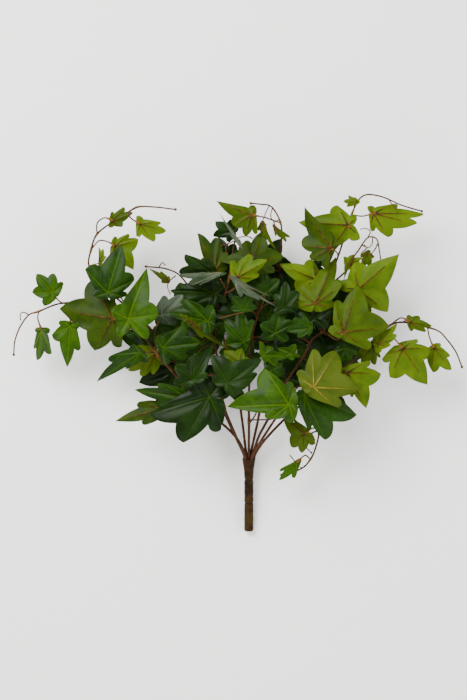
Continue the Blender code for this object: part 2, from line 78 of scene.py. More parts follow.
# Each leaf: name, hub where the stalk meets it (x, y, z), bearing of the stalk seen from the hub in degrees,
# slope of the blade (rise along X, rise along Y), droop of the tips, tips of the lobes (x, y), side on show.
LEAVES = (
    # far left vine
    ("leaf_far_left_1", (-236, 288, 74), -45, (0.1, 0.1), 5, ((-255, 311), (-233, 311), (-223, 297),
     (-243, 273), (-260, 288)), "top"),
    ("leaf_far_left_2", (-250, 243, 52), 100, (1.1, 0.0), 4, ((-256, 207), (-237, 216), (-241, 246),
     (-257, 246), (-260, 224)), "top"),
    ("leaf_far_left_3", (-215, 248, 66), 80, (0.2, 0.1), 6, ((-219, 199), (-202, 223), (-205, 252),
     (-225, 255), (-237, 238)), "top"),
    ("leaf_left_1", (-164, 257, 84), -10, (0.1, 0.1), 8, ((-228, 269), (-188, 304), (-160, 277),
     (-152, 228), (-185, 219)), "under"),
    ("leaf_left_2", (-169, 288, 95), -75, (0.1, 0.0), 8, ((-152, 346), (-137, 303), (-150, 283),
     (-184, 283), (-196, 316)), "top"),
    ("leaf_left_3", (-144, 257, 108), -70, (-0.1, 0.15), 8, ((-122, 318), (-108, 262), (-125, 233),
     (-155, 236), (-164, 266)), "top"),
    ("leaf_left_4", (-112, 215, 54), 55, (0.1, 0.2), 4, ((-128, 188), (-114, 191), (-100, 204),
     (-98, 216), (-130, 226), (-146, 195)), "under"),
    ("leaf_left_5", (-131, 217, 78), 20, (0.1, 0.5), 6, ((-184, 181), (-142, 199), (-121, 207),
     (-137, 226), (-166, 213)), "top"),
    ("leaf_left_6", (-103, 223, 92), 200, (0.1, 0.2), 6, ((-58, 228), (-78, 251), (-112, 233),
     (-102, 204), (-77, 208)), "top"),
    ("leaf_left_7", (-105, 261, 70), -110, (0.1, 0.3), 4, ((-80, 286), (-73, 272), (-92, 250),
     (-121, 262), (-104, 284)), "top"),
    # upper left vine
    ("leaf_upper_left_1", (-163, 374, 74), 190, (0.1, 0.2), 3, ((-139, 384), (-151, 391), (-166, 383),
     (-168, 367), (-153, 367)), "under"),
    ("leaf_upper_left_2", (-130, 370, 90), 150, (0.1, 0.0), 4, ((-99, 362), (-107, 373), (-134, 380),
     (-135, 358), (-115, 349)), "under"),
    ("leaf_upper_left_3", (-161, 344, 60), 160, (0.2, 0.1), 5, ((-139, 316), (-168, 328), (-163, 354),
     (-146, 359), (-133, 353)), "under"),
    # middle left vine
    ("leaf_middle_left_1", (-40, 288, 66), 0, (-0.1, 0.1), 6, ((-95, 291), (-74, 300), (-46, 305),
     (-26, 299), (-27, 279), (-44, 268), (-72, 272)), "top"),
    ("leaf_middle_left_2", (-49, 254, 84), -10, (0.0, 0.1), 6, ((-96, 264), (-76, 281), (-42, 270),
     (-46, 238), (-79, 248)), "top"),
    ("leaf_middle_left_3", (-66, 185, 117), -60, (0.0, 0.1), 8, ((-66, 214), (-42, 225), (-52, 186),
     (-87, 177), (-89, 200)), "top"),
    ("leaf_middle_left_4", (-47, 164, 104), -10, (0.0, 0.0), 9, ((-78, 109), (-120, 143), (-60, 186),
     (-26, 190), (-33, 130)), "top"),
    ("leaf_middle_left_5", (-71, 162, 88), -5, (0.0, 0.2), 6, ((-137, 172), (-104, 180), (-74, 176),
     (-58, 171), (-60, 150), (-77, 146), (-106, 151)), "top"),
    ("leaf_middle_left_6", (-106, 149, 74), 10, (0.0, 0.1), 5, ((-161, 134), (-130, 158), (-104, 163),
     (-100, 136), (-122, 130)), "under"),
    # centre left vine
    ("leaf_centre_left_1", (4, 325, 84), -90, (0.0, 0.1), 7, ((14, 361), (-6, 349), (-35, 326),
     (25, 312), (42, 331)), "under"),
    ("leaf_centre_left_2", (-14, 306, 98), 200, (0.0, 0.1), 4, ((-1, 334), (22, 327), (10, 306),
     (-14, 293), (-23, 322)), "under"),
    ("leaf_centre_left_3", (-41, 316, 70), -60, (0.1, 0.1), 6, ((-62, 360), (-36, 353), (-25, 334),
     (-28, 316), (-53, 308), (-57, 324)), "under"),
    ("leaf_centre_left_4", (-43, 310, 94), 30, (0.2, 0.6), 4, ((-84, 312), (-76, 334), (-46, 326),
     (-36, 300), (-66, 297)), "top"),
    ("leaf_centre_left_5", (-20, 362, 72), -20, (0.0, 0.2), 3, ((-43, 356), (-40, 374), (-20, 376),
     (-12, 370), (-22, 350)), "top"),
    ("leaf_centre_left_6", (-6, 229, 84), 0, (0.1, 0.2), 5, ((-30, 254), (-10, 266), (7, 254),
     (-6, 216), (-28, 226)), "top"),
    # centre vine
    ("leaf_centre_1", (31, 240, 80), -80, (0.0, 0.3), 5, ((37, 269), (55, 252), (44, 230),
     (16, 232), (13, 250)), "top"),
    ("leaf_centre_2", (41, 270, 90), -60, (0.1, 0.1), 5, ((43, 302), (60, 288), (56, 266),
     (31, 262), (29, 284)), "top"),
    ("leaf_centre_3", (20, 288, 74), -90, (0.0, 0.2), 5, ((17, 313), (37, 304), (36, 284),
     (4, 279), (1, 299)), "top"),
    ("leaf_centre_4", (-25, 180, 120), 215, (0.1, 0.1), 8, ((15, 209), (8, 188), (-13, 156),
     (-41, 180), (-47, 214)), "top"),
    ("leaf_centre_5", (47, 155, 132), 0, (0.1, 0.0), 9, ((-26, 152), (19, 198), (53, 176),
     (53, 135), (26, 138)), "top"),
    # centre arch vine
    ("leaf_arch_1", (3, 381, 88), 10, (0.0, 0.1), 4, ((-39, 398), (8, 391), (10, 362),
     (-4, 356), (-18, 368)), "under"),
    # upper right vine
    ("leaf_upper_right_1", (149, 383, 84), 165, (0.1, 0.0), 5, ((209, 383), (173, 395), (142, 391),
     (145, 366), (166, 355), (199, 370)), "under"),
    ("leaf_upper_right_2", (118, 369, 86), 0, (0.0, 0.1), 7, ((59, 373), (106, 393), (129, 378),
     (133, 355), (98, 339)), "under"),
    ("leaf_upper_right_3", (97, 341, 104), -30, (0.0, 0.1), 7, ((66, 390), (100, 358), (107, 346),
     (94, 318), (74, 328), (63, 344)), "under"),
    ("leaf_upper_right_4", (130, 292, 92), 200, (0.1, 0.1), 8, ((179, 334), (125, 323), (107, 295),
     (139, 267), (166, 265)), "under"),
    ("leaf_upper_right_5", (80, 304, 76), -20, (0.0, 0.1), 6, ((36, 323), (76, 328), (90, 312),
     (76, 286), (58, 291)), "under"),
    ("leaf_upper_right_6", (79, 275, 98), -100, (0.0, 0.0), 7, ((104, 331), (111, 297), (98, 270),
     (57, 271), (55, 291)), "under"),
    ("leaf_upper_right_7", (78, 257, 84), -80, (0.1, 0.2), 6, ((88, 288), (102, 270), (92, 246),
     (62, 246), (56, 268)), "top"),
    ("leaf_upper_right_8", (112, 241, 110), -110, (0.0, 0.0), 9, ((130, 298), (168, 247), (137, 221),
     (96, 240), (101, 275)), "under"),
    # lower right vine
    ("leaf_right_1", (194, 253, 66), 170, (0.1, 0.1), 4, ((220, 249), (203, 261), (190, 261),
     (193, 244), (211, 241)), "under"),
    ("leaf_right_2", (184, 221, 80), 140, (0.1, 0.0), 6, ((214, 178), (217, 222), (197, 232),
     (162, 212), (169, 187)), "under"),
    ("leaf_right_3", (222, 222, 62), 110, (0.1, 0.0), 5, ((244, 196), (241, 215), (228, 228),
     (207, 214), (221, 193)), "under"),
    ("leaf_right_4", (118, 193, 92), 110, (0.1, 0.0), 7, ((140, 150), (158, 191), (139, 206),
     (104, 190), (120, 166)), "under"),
    # hanging vine
    ("leaf_hanging_1", (77, 175, 120), 225, (0.0, 0.0), 9, ((104, 218), (132, 173), (101, 153),
     (58, 188), (75, 220)), "under"),
    ("leaf_hanging_2", (65, 167, 98), 120, (0.1, 0.0), 8, ((91, 112), (129, 142), (101, 176),
     (80, 184), (52, 160), (69, 127)), "top"),
    ("leaf_hanging_3", (66, 119, 84), 20, (0.0, 0.1), 5, ((40, 139), (58, 134), (79, 110),
     (64, 96), (50, 104)), "under"),
    ("leaf_hanging_4", (57, 85, 58), 40, (0.2, 0.1), 3, ((36, 62), (40, 78), (57, 69)), "top"),
    # leaves at the back, which the bush lies on
    ("leaf_back_left", (-64, 262, 12), 0, (0.0, 0.0), 11, ((-112, 268), (-84, 302), (-48, 292),
     (-42, 234), (-86, 228)), "top"),
    ("leaf_back_right", (98, 236, 12), 180, (0.0, 0.0), 11, ((146, 230), (118, 198), (84, 210),
     (82, 262), (114, 276)), "top"),
    ("leaf_back_top", (4, 292, 12), -90, (0.0, 0.0), 11, ((8, 342), (44, 316), (34, 278),
     (-26, 278), (-38, 314)), "top"),
)

# Each vine: its route and its stalks. A stalk starts on the route and ends short of its leaf's hub.
VINES = {
    "vine_far_left": (
        ((-4, 92, 23), (-12, 109, 28), (-22, 121, 32), (-36, 134, 38), (-71, 165, 50), (-89, 190, 56),
         (-111, 216, 70), (-123, 232, 72), (-139, 245, 76), (-159, 254, 70), (-202, 273, 62),
         (-218, 276, 62), (-233, 274, 60), (-253, 266, 56), (-265, 262, 52), (-275, 249, 47),
         (-280, 238, 44), (-283, 228, 41), (-284, 214, 38)),
        (((-218, 276, 62), (-226, 277, 66), (-235, 286, 73)),
         ((-253, 266, 56), (-254, 257, 57), (-250, 245, 53)),
         ((-205, 273, 62), (-213, 266, 60), (-215, 250, 63)),
         ((-159, 254, 70), (-155, 256, 78), (-162, 257, 83)),
         ((-139, 245, 76), (-146, 268, 80), (-156, 286, 88), (-167, 289, 92)),
         ((-130, 238, 74), (-136, 244, 92), (-144, 255, 105)),
         ((-95, 197, 59), (-104, 204, 57), (-111, 214, 56)),
         ((-111, 216, 70), (-122, 217, 73), (-129, 217, 75)),
         ((-111, 216, 70), (-110, 219, 80), (-105, 222, 90)),
         ((-111, 216, 70), (-113, 240, 66), (-106, 259, 66)))),
    "vine_upper_left": (
        ((-6, 93, 18), (-18, 118, 19), (-40, 160, 22), (-90, 215, 26), (-140, 265, 34), (-180, 300, 42),
         (-193, 321, 46), (-190, 341, 50), (-183, 359, 54), (-165, 373, 60), (-150, 382, 66),
         (-134, 391, 72), (-113, 391, 76), (-88, 388, 78)),
        (((-183, 359, 54), (-182, 372, 70), (-173, 378, 78), (-164, 375, 77)),
         ((-134, 391, 72), (-144, 384, 84), (-141, 377, 91), (-131, 371, 92)),
         ((-190, 341, 50), (-180, 351, 58), (-168, 349, 63), (-162, 345, 63)))),
    "vine_middle_left": (
        ((-5, 92, 27), (-18, 121, 34), (-30, 152, 42), (-36, 190, 48), (-42, 230, 54), (-58, 270, 56),
         (-80, 306, 56), (-99, 317, 58), (-124, 320, 60)),
        (((-52, 258, 56), (-38, 270, 56), (-39, 287, 62)),
         ((-42, 230, 54), (-40, 246, 68), (-47, 254, 83)),
         ((-36, 190, 48), (-72, 186, 70), (-74, 178, 98), (-67, 183, 113)),
         ((-30, 152, 42), (-34, 158, 74), (-45, 163, 102)),
         ((-32, 170, 45), (-50, 164, 66), (-69, 162, 87)),
         ((-30, 152, 42), (-60, 148, 56), (-104, 149, 73)))),
    "vine_centre_left": (
        ((-3, 92, 19), (-7, 125, 26), (-12, 160, 34), (-20, 195, 42), (-28, 225, 48), (-35, 250, 52),
         (-30, 280, 56), (-24, 305, 60), (-20, 335, 62), (-16, 355, 62)),
        (((-24, 305, 60), (-6, 310, 70), (3, 323, 83)),
         ((-24, 305, 60), (-17, 303, 80), (-16, 305, 96)),
         ((-28, 290, 57), (-38, 300, 62), (-41, 314, 67)),
         ((-28, 225, 48), (-12, 222, 64), (-6, 227, 82)))),
    "vine_centre": (
        ((0, 92, 24), (0, 125, 34), (0, 160, 44), (1, 195, 52), (4, 235, 58), (10, 260, 60),
         (12, 285, 62), (20, 300, 60)),
        (((4, 235, 58), (20, 236, 66), (30, 239, 78)),
         ((10, 260, 60), (20, 274, 70), (34, 276, 82), (40, 271, 86)),
         ((0, 150, 41), (-10, 166, 88), (-24, 178, 117)),
         ((0, 135, 37), (30, 138, 90), (46, 153, 129)))),
    "vine_centre_arch": (
        ((2, 92, 19), (9, 125, 24), (16, 160, 30), (24, 200, 36), (32, 245, 40), (37, 290, 46),
         (37, 320, 54), (39, 350, 64), (38, 372, 72), (27, 391, 80), (14, 394, 84), (2, 395, 88)),
        (((38, 372, 72), (20, 378, 80), (5, 381, 87)),)),
    "vine_upper_right": (
        ((5, 92, 23), (12, 115, 30), (26, 142, 42), (43, 179, 56), (64, 209, 64), (76, 232, 66),
         (89, 243, 68), (97, 262, 68), (99, 299, 68), (103, 320, 70), (112, 347, 72), (123, 382, 72),
         (136, 404, 72), (157, 404, 76), (183, 393, 78), (207, 386, 76)),
        (((123, 382, 72), (136, 380, 76), (148, 383, 83)),
         ((115, 356, 72), (124, 362, 80), (119, 368, 85)),
         ((103, 320, 70), (106, 334, 90), (99, 340, 103)),
         ((99, 299, 68), (112, 292, 80), (128, 291, 91)),
         ((98, 280, 68), (88, 296, 72), (82, 303, 75)),
         ((99, 296, 68), (100, 292, 84), (92, 285, 92), (81, 277, 95)),
         ((89, 243, 68), (83, 247, 73), (78, 254, 79)),
         ((89, 243, 68), (104, 232, 92), (111, 239, 108)))),
    "vine_lower_right": (
        ((7, 92, 19), (18, 109, 24), (42, 135, 34), (80, 168, 44), (118, 200, 54), (150, 232, 62),
         (169, 249, 64), (184, 253, 62), (203, 250, 58), (227, 243, 54), (237, 234, 52),
         (249, 218, 48), (257, 199, 44)),
        (((169, 249, 64), (182, 258, 70), (192, 254, 69)),
         ((160, 241, 63), (168, 240, 76), (176, 231, 84), (183, 222, 83)),
         ((215, 247, 56), (216, 238, 64), (219, 229, 66), (222, 223, 65)),
         ((100, 185, 49), (108, 196, 76), (116, 194, 91)))),
    "vine_hanging": (
        ((4, 92, 28), (16, 112, 42), (34, 140, 64), (52, 160, 80), (68, 158, 78), (80, 145, 72),
         (84, 123, 66), (81, 105, 60), (74, 88, 56), (62, 76, 50), (39, 69, 46)),
        (((52, 160, 80), (51, 167, 98), (62, 178, 112), (74, 175, 118)),
         ((44, 151, 73), (52, 164, 82), (63, 168, 94)),
         ((84, 123, 66), (76, 126, 78), (68, 120, 83)),
         ((74, 88, 56), (68, 93, 61), (62, 89, 62), (58, 85, 61)))),
}


# Small leaves and leaves deeper in the bush, which the frame doesn't hold: the same columns
SMALL_LEAVES = (
    ("small_leaf_far_left", (-137, 240, 78), 150, (0.1, 0.9), 2, ((-127, 225), (-131, 239), (-151, 244),
     (-146, 236)), "top"),
    ("small_leaf_upper_left_1", (-180, 326, 52), -120, (0.3, 0.2), 2, ((-181, 343), (-175, 341), (-172, 331),
     (-178, 320)), "under"),
    ("small_leaf_upper_left_2", (-178, 318, 48), 120, (0.1, 0.1), 1, ((-171, 322), (-170, 315), (-176, 311),
     (-182, 315)), "under"),
    ("small_leaf_middle_left_1", (-97, 303, 60), -60, (0.2, 0.6), 2, ((-121, 318), (-104, 313), (-95, 307),
     (-103, 300)), "under"),
    ("small_leaf_middle_left_2", (-72, 254, 98), 40, (-0.1, 0.9), 5, ((-22, 219), (-34, 229), (-62, 252),
     (-84, 263), (-60, 236)), "under"),
    ("small_leaf_centre_left_1", (-34, 312, 108), 0, (0.15, 0.5), 5, ((-84, 310), (-70, 297), (-54, 299),
     (-52, 312)), "top"),
    ("small_leaf_centre_left_2", (-17, 303, 116), 130, (0.0, 0.5), 6, ((36, 270), (26, 283), (1, 292),
     (-13, 286), (8, 281)), "top"),
    ("small_leaf_centre_left_3", (-9, 342, 92), -60, (0.2, 0.5), 3, ((-36, 384), (-22, 366), (-10, 349),
     (-20, 353)), "top"),
    ("small_leaf_centre_left_4", (-12, 205, 88), -60, (0.1, 0.1), 4, ((-30, 219), (-32, 204), (-14, 200),
     (0, 206), (-8, 222)), "under"),
    ("small_leaf_centre_1", (-6, 268, 92), -90, (0.0, 0.3), 4, ((-20, 284), (4, 286), (8, 268),
     (-8, 260), (-22, 267)), "top"),
    ("small_leaf_centre_2", (17, 214, 94), 190, (0.1, 0.1), 4, ((46, 212), (33, 199), (18, 206), (12, 229),
     (26, 224)), "top"),
    ("small_leaf_centre_3", (28, 196, 90), 90, (0.1, 0.1), 4, ((28, 180), (42, 190), (40, 206), (18, 208),
     (14, 190)), "top"),
    ("small_leaf_arch_1", (16, 372, 80), 100, (0.9, 0.2), 3, ((33, 339), (24, 357), (20, 371), (10, 366),
     (17, 352)), "under"),
    ("small_leaf_arch_2", (30, 367, 74), 120, (0.3, 0.2), 2, ((49, 356), (44, 349), (38, 354), (31, 358),
     (38, 364)), "under"),
    ("small_leaf_upper_right_1", (130, 397, 78), 0, (0.1, 0.2), 1, ((113, 398), (120, 405), (128, 402),
     (127, 392), (118, 391)), "under"),
    ("small_leaf_upper_right_2", (118, 322, 80), -80, (0.1, 0.1), 3, ((113, 331), (124, 334), (135, 330),
     (126, 314), (114, 304)), "under"),
    ("small_leaf_upper_right_3", (141, 335, 84), 100, (0.2, 0.1), 3, ((146, 320), (150, 332), (144, 339),
     (134, 334), (135, 318)), "under"),
    ("small_leaf_upper_right_4", (82, 318, 64), 20, (0.0, 0.1), 2, ((69, 326), (82, 331), (95, 326),
     (92, 310), (74, 312)), "top"),
    ("small_leaf_upper_right_5", (74, 246, 100), -60, (0.1, 0.1), 3, ((45, 242), (54, 258), (66, 261),
     (76, 251), (73, 238), (60, 234)), "top"),
    ("small_leaf_right_1", (154, 226, 88), -150, (0.1, 0.1), 3, ((177, 252), (176, 235), (168, 224),
     (154, 216), (148, 236)), "under"),
    ("small_leaf_right_2", (148, 224, 80), 60, (0.1, 0.1), 3, ((127, 214), (136, 203), (152, 202),
     (157, 214), (138, 229)), "under"),
    ("small_leaf_right_3", (116, 222, 84), 20, (0.1, 0.1), 3, ((100, 218), (106, 204), (121, 206),
     (130, 216), (112, 232)), "top"),
    ("small_leaf_right_4", (50, 216, 92), 0, (0.1, 0.4), 3, ((34, 222), (38, 209), (52, 207), (62, 212),
     (56, 226)), "top"),
)

# Deeper leaves, whole and five-lobed: hub (x, y, z), bearing of the middle lobe, reach
DEEP_LEAVES = (
    ((-14, 258, 56), 120, 46), ((22, 262, 50), 60, 44), ((60, 236, 54), 100, 46),
    ((-44, 232, 52), 150, 44), ((30, 208, 48), 40, 42), ((-8, 206, 46), 110, 40),
    ((72, 206, 56), 20, 44), ((98, 258, 58), 70, 44), ((54, 290, 48), 110, 46),
    ((-22, 296, 46), 80, 46), ((18, 318, 44), 60, 42), ((-62, 212, 48), 170, 42),
    ((120, 276, 52), 40, 42), ((-86, 246, 44), 200, 40), ((84, 170, 46), -30, 40),
    ((-52, 168, 44), 190, 38), ((6, 232, 30), 90, 48), ((70, 262, 30), 80, 50),
    ((-36, 262, 30), 130, 50), ((104, 214, 34), 10, 46), ((-90, 196, 30), 200, 46),
    ((40, 186, 30), 30, 40), ((-24, 180, 32), 150, 40),
    ((-118, 226, 26), 160, 42), ((-26, 326, 40), 110, 32),
)
DEEP_LOBES = ((0, 1.0), (50, 0.74), (-48, 0.72), (104, 0.52), (-100, 0.54))

# Tendrils and bare twigs: radius, points
TENDRILS = (
    (0.9, ((-265, 262, 52), (-271, 265, 52), (-275, 263, 53), (-275, 256, 53))),
    (0.9, ((-193, 321, 46), (-186, 323, 49), (-180, 324, 51))),
    (0.8, ((-88, 309, 57), (-95, 303, 60), (-98, 296, 60), (-95, 287, 58))),
    (0.8, ((-108, 320, 59), (-104, 325, 60), (-101, 322, 62))),
    (0.8, ((-16, 355, 62), (-13, 353, 66), (-24, 348, 68), (-33, 345, 70))),
    (0.8, ((-24, 348, 68), (-28, 343, 70), (-27, 336, 70))),
    (0.8, ((4, 353, 84), (-3, 356, 84), (-13, 354, 80), (-16, 355, 72))),
    (0.8, ((36, 376, 72), (30, 372, 74), (30, 366, 74))),
    (0.8, ((24, 392, 81), (20, 384, 82), (17, 376, 82), (16, 372, 80))),
    (0.8, ((28, 390, 80), (26, 380, 80), (30, 372, 78), (34, 360, 76))),
    (1.1, ((39, 318, 54), (34, 322, 56), (28, 327, 58))),
    (1.2, ((99, 299, 68), (113, 311, 74), (121, 320, 78), (124, 329, 82), (131, 339, 84), (136, 347, 84),
           (142, 354, 84), (148, 355, 84), (153, 352, 84), (155, 345, 84), (156, 338, 84), (158, 325, 82))),
    (0.8, ((142, 354, 84), (145, 361, 86), (140, 365, 88), (134, 364, 88))),
    (0.8, ((148, 355, 84), (147, 346, 86), (142, 342, 86), (138, 345, 85))),
    (0.9, ((135, 345, 84), (141, 342, 86), (137, 338, 88), (134, 334, 88), (135, 325, 88))),
    (0.9, ((154, 347, 84), (150, 339, 86), (145, 334, 87))),
    (0.9, ((167, 401, 77), (171, 394, 84), (176, 389, 88))),
    (1.1, ((84, 123, 66), (76, 120, 66), (68, 114, 64), (67, 105, 62), (75, 96, 58))),
    (0.8, ((49, 93, 54), (54, 87, 53), (58, 80, 51), (63, 78, 50))),
    (1.1, ((10, 150, 42), (8, 142, 44), (3, 134, 42), (0, 130, 36))),
    (0.8, ((-44, 236, 55), (-56, 240, 60), (-66, 236, 62), (-72, 228, 62))),
    (0.8, ((-46, 240, 56), (-58, 228, 64), (-70, 222, 66))),
    (0.8, ((-40, 222, 53), (-52, 224, 58), (-60, 218, 60))),
    (0.8, ((-100, 204, 64), (-92, 206, 66), (-86, 202, 66), (-84, 196, 64))),
    (0.9, ((184, 253, 62), (193, 256, 63), (203, 252, 60))),
    (0.8, ((10, 260, 60), (16, 274, 76), (20, 288, 84))),
    (0.9, ((10, 260, 60), (2, 266, 84), (-18, 262, 96), (-34, 258, 92))),
    (0.9, ((-30, 280, 56), (-28, 292, 88), (-34, 304, 104))),
    (0.9, ((-28, 288, 90), (-22, 290, 104), (-8, 300, 108))),
)

# Which finish a leaf shows, where it isn't its side's usual one; the grey-green top finish is no print but a
# painted sheen
FINISHES = {
    "leaf_left_1": "under_dusky", "leaf_left_2": "top_deep", "leaf_left_3": "top_fresh",
    "leaf_far_left_1": "top_fresh", "leaf_far_left_2": "top_fresh", "leaf_far_left_3": "top_fresh",
    "leaf_left_4": "under_lime", "leaf_left_7": "top_painted_sheen",
    "leaf_upper_left_1": "under_olive", "leaf_upper_left_2": "under_lime", "leaf_upper_left_3": "under_lime",
    "leaf_middle_left_1": "top_dark", "leaf_middle_left_3": "top_dark", "leaf_middle_left_4": "top_dark",
    "leaf_middle_left_5": "top_deep", "leaf_middle_left_6": "under_dusky",
    "leaf_centre_left_1": "under_dusky", "leaf_centre_left_2": "under_lime",
    "leaf_centre_left_3": "under_dusky", "leaf_centre_left_4": "top_dark", "leaf_centre_left_5": "top_dark",
    "leaf_centre_1": "top_deep", "leaf_centre_2": "top_dark", "leaf_centre_3": "top_deep",
    "leaf_centre_4": "top_dark", "leaf_centre_5": "top_fresh",
    "leaf_upper_right_1": "under_lime", "leaf_upper_right_3": "under_dusky",
    "leaf_upper_right_2": "under_lime",
    "leaf_upper_right_4": "under_lime",
    "leaf_upper_right_5": "under_lime", "leaf_upper_right_7": "top_dark",
    "leaf_right_1": "under_olive", "leaf_right_2": "under_lime", "leaf_right_3": "under_lime",
    "leaf_right_4": "under_lime", "leaf_hanging_1": "under_pale", "leaf_hanging_4": "top_fresh",
    # The grey-green finish on these three small leaves is a painted sheen
    "small_leaf_centre_left_1": "top_painted_sheen", "small_leaf_centre_left_2": "top_painted_sheen",
    "small_leaf_centre_left_3": "top_painted_sheen", "small_leaf_centre_2": "top_fresh",
    "small_leaf_upper_left_1": "under_lime", "small_leaf_upper_left_2": "under_lime",
    "small_leaf_upper_right_2": "under_lime", "small_leaf_upper_right_1": "under_lime",
    "small_leaf_right_1": "under_lime", "small_leaf_upper_right_4": "top_dark",
    "small_leaf_right_3": "top_deep", "small_leaf_right_4": "top_fresh",
}
USUAL_FINISH = {"top": "top_deep", "under": "under_olive"}


# ---------------------------------------------------------------- sizes and colours a user would change

def colour_setting(name, description, default):
    return bpy.props.FloatVectorProperty(
        name=name, description=description, subtype="COLOR", size=3, min=0.0, max=1.0, default=default)


class IvyStemSettings(bpy.types.PropertyGroup):
    groove_depth: bpy.props.FloatProperty(
        name="Groove Depth", description="Depth of the stem's rings (mm)", default=0.9, min=0.0, max=2.0)
    dark: colour_setting("Dark Brown", "Stem colour in its dark patches", (0.012, 0.005, 0.001))
    olive: colour_setting("Olive", "Stem colour in its olive patches", (0.026, 0.017, 0.001))


class IvyVineSettings(bpy.types.PropertyGroup):
    base_radius: bpy.props.FloatProperty(
        name="Base Radius", description="Vine radius where it leaves the stem (mm)",
        default=1.75, min=0.5, max=4.0)
    tip_radius: bpy.props.FloatProperty(
        name="Tip Radius", description="Vine radius at its far end (mm)", default=0.95, min=0.3, max=2.0)
    stalk_radius: bpy.props.FloatProperty(
        name="Stalk Radius", description="Radius of a leaf stalk (mm)", default=0.90, min=0.3, max=2.0)
    brown: colour_setting("Red-Brown", "Main vine colour", (0.045, 0.016, 0.005))
    tan: colour_setting("Tan", "Colour of the swollen joints", (0.13, 0.060, 0.010))


class IvyLeafSettings(bpy.types.PropertyGroup):
    thickness: bpy.props.FloatProperty(
        name="Thickness", description="Leaf thickness (mm)", default=0.45, min=0.1, max=1.0)
    puff: bpy.props.FloatProperty(
        name="Puff", description="Rise of the blade between its veins, as a share of its reach",
        default=0.055, min=0.0, max=0.1)
    wave: bpy.props.FloatProperty(
        name="Wave", description="Waviness of the edge, as a share of the reach",
        default=0.042, min=0.0, max=0.1)
    rib_brown: colour_setting("Rib Brown", "Colour of the moulded ribs underneath", (0.032, 0.012, 0.004))


class IvyStageSettings(bpy.types.PropertyGroup):
    key_power: bpy.props.FloatProperty(
        name="Key Light", description="Power of the large soft light", default=92.0, min=0.0, unit="POWER")
    fill_power: bpy.props.FloatProperty(
        name="Fill Light", description="Power of the two fill lights", default=19.0, min=0.0, unit="POWER")
    view_distance: bpy.props.FloatProperty(
        name="View Distance", description="Camera height above the bush", default=5.0, min=1.0, unit="LENGTH")


# ---------------------------------------------------------------- places

def plan_origin():
    """Where the plan's origin, the middle of the stem's end, lies in the frame."""
    low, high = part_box("stem_pick")
    end_low = STEM_END_RADIUS * math.sin(STEM_RISE)
    skin_low = STEM_END_HEIGHT + 0.6 * math.sin(STEM_RISE) - STEM_RADIUS * math.cos(STEM_RISE)
    return Vector(((low.x + high.x) / 2, low.y + end_low * MM, low.z - skin_low * MM))


ORIGIN = plan_origin()


def placed(point):
    return ORIGIN + Vector(point) * MM


def smooth_step(low, high, value):
    share = min(1.0, max(0.0, (value - low) / (high - low)))
    return share * share * (3.0 - 2.0 * share)


def finish_mesh(work, name, materials, values):
    """Turn the bmesh into an object of its own that rides on the bush."""
    mesh = bpy.data.meshes.new(name)
    work.to_mesh(mesh)
    work.free()
    for material in materials:
        mesh.materials.append(material)
    for label, numbers in values.items():
        layer = mesh.attributes.new(label, "FLOAT", "POINT")
        layer.data.foreach_set("value", numbers)
    mesh.shade_smooth()
    piece = bpy.data.objects.new(name, mesh)
    bpy.context.scene.collection.objects.link(piece)
    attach(piece, BODY)
    return piece


# ---------------------------------------------------------------- node tools

class Nodes:
    """Adds and joins the nodes of one material or group."""

    def __init__(self, tree):
        self.tree = tree

    def add(self, kind, inputs=None, **settings):
        node = self.tree.nodes.new(kind)
        for label, value in settings.items():
            setattr(node, label, value)
        for label, value in (inputs or {}).items():
            self.feed(node.inputs[label], value)
        return node

    def feed(self, socket, value):
        if isinstance(value, bpy.types.NodeSocket):
            self.tree.links.new(value, socket)
        elif isinstance(value, (tuple, list)) and len(value) == 3 and socket.type == "RGBA":
            socket.default_value = (*value, 1.0)
        else:
            socket.default_value = value

    def math(self, operation, first, second=0.0, third=0.0):
        node = self.add("ShaderNodeMath", {0: first, 1: second, 2: third}, operation=operation)
        return node.outputs[0]

    def ramp(self, value, low, high):
        """0 below low and 1 above high, smoothly between."""
        node = self.add("ShaderNodeMapRange", {"Value": value, "From Min": low, "From Max": high},
                        interpolation_type="SMOOTHSTEP")
        return node.outputs["Result"]

    def mix(self, factor, first, second):
        node = self.add("ShaderNodeMix", data_type="RGBA")
        for socket, value in ((node.inputs[0], factor), (node.inputs[6], first), (node.inputs[7], second)):
            self.feed(socket, value)
        return node.outputs[2]

    def value_of(self, label):
        return self.add("ShaderNodeAttribute", attribute_name=label).outputs["Fac"]

    def group(self, group, **inputs):
        node = self.add("ShaderNodeGroup", node_tree=group)
        for label, value in inputs.items():
            self.feed(node.inputs[label.replace("_", " ")], value)
        return node


def new_group(name, inputs, outputs):
    group = bpy.data.node_groups.new(name, "ShaderNodeTree")
    for label, default in inputs.items():
        socket = group.interface.new_socket(label, in_out="INPUT", socket_type="NodeSocketFloat")
        socket.default_value = default
    for label in outputs:
        group.interface.new_socket(label, in_out="OUTPUT", socket_type="NodeSocketFloat")
    nodes = Nodes(group)
    return group, nodes, nodes.add("NodeGroupInput"), nodes.add("NodeGroupOutput")


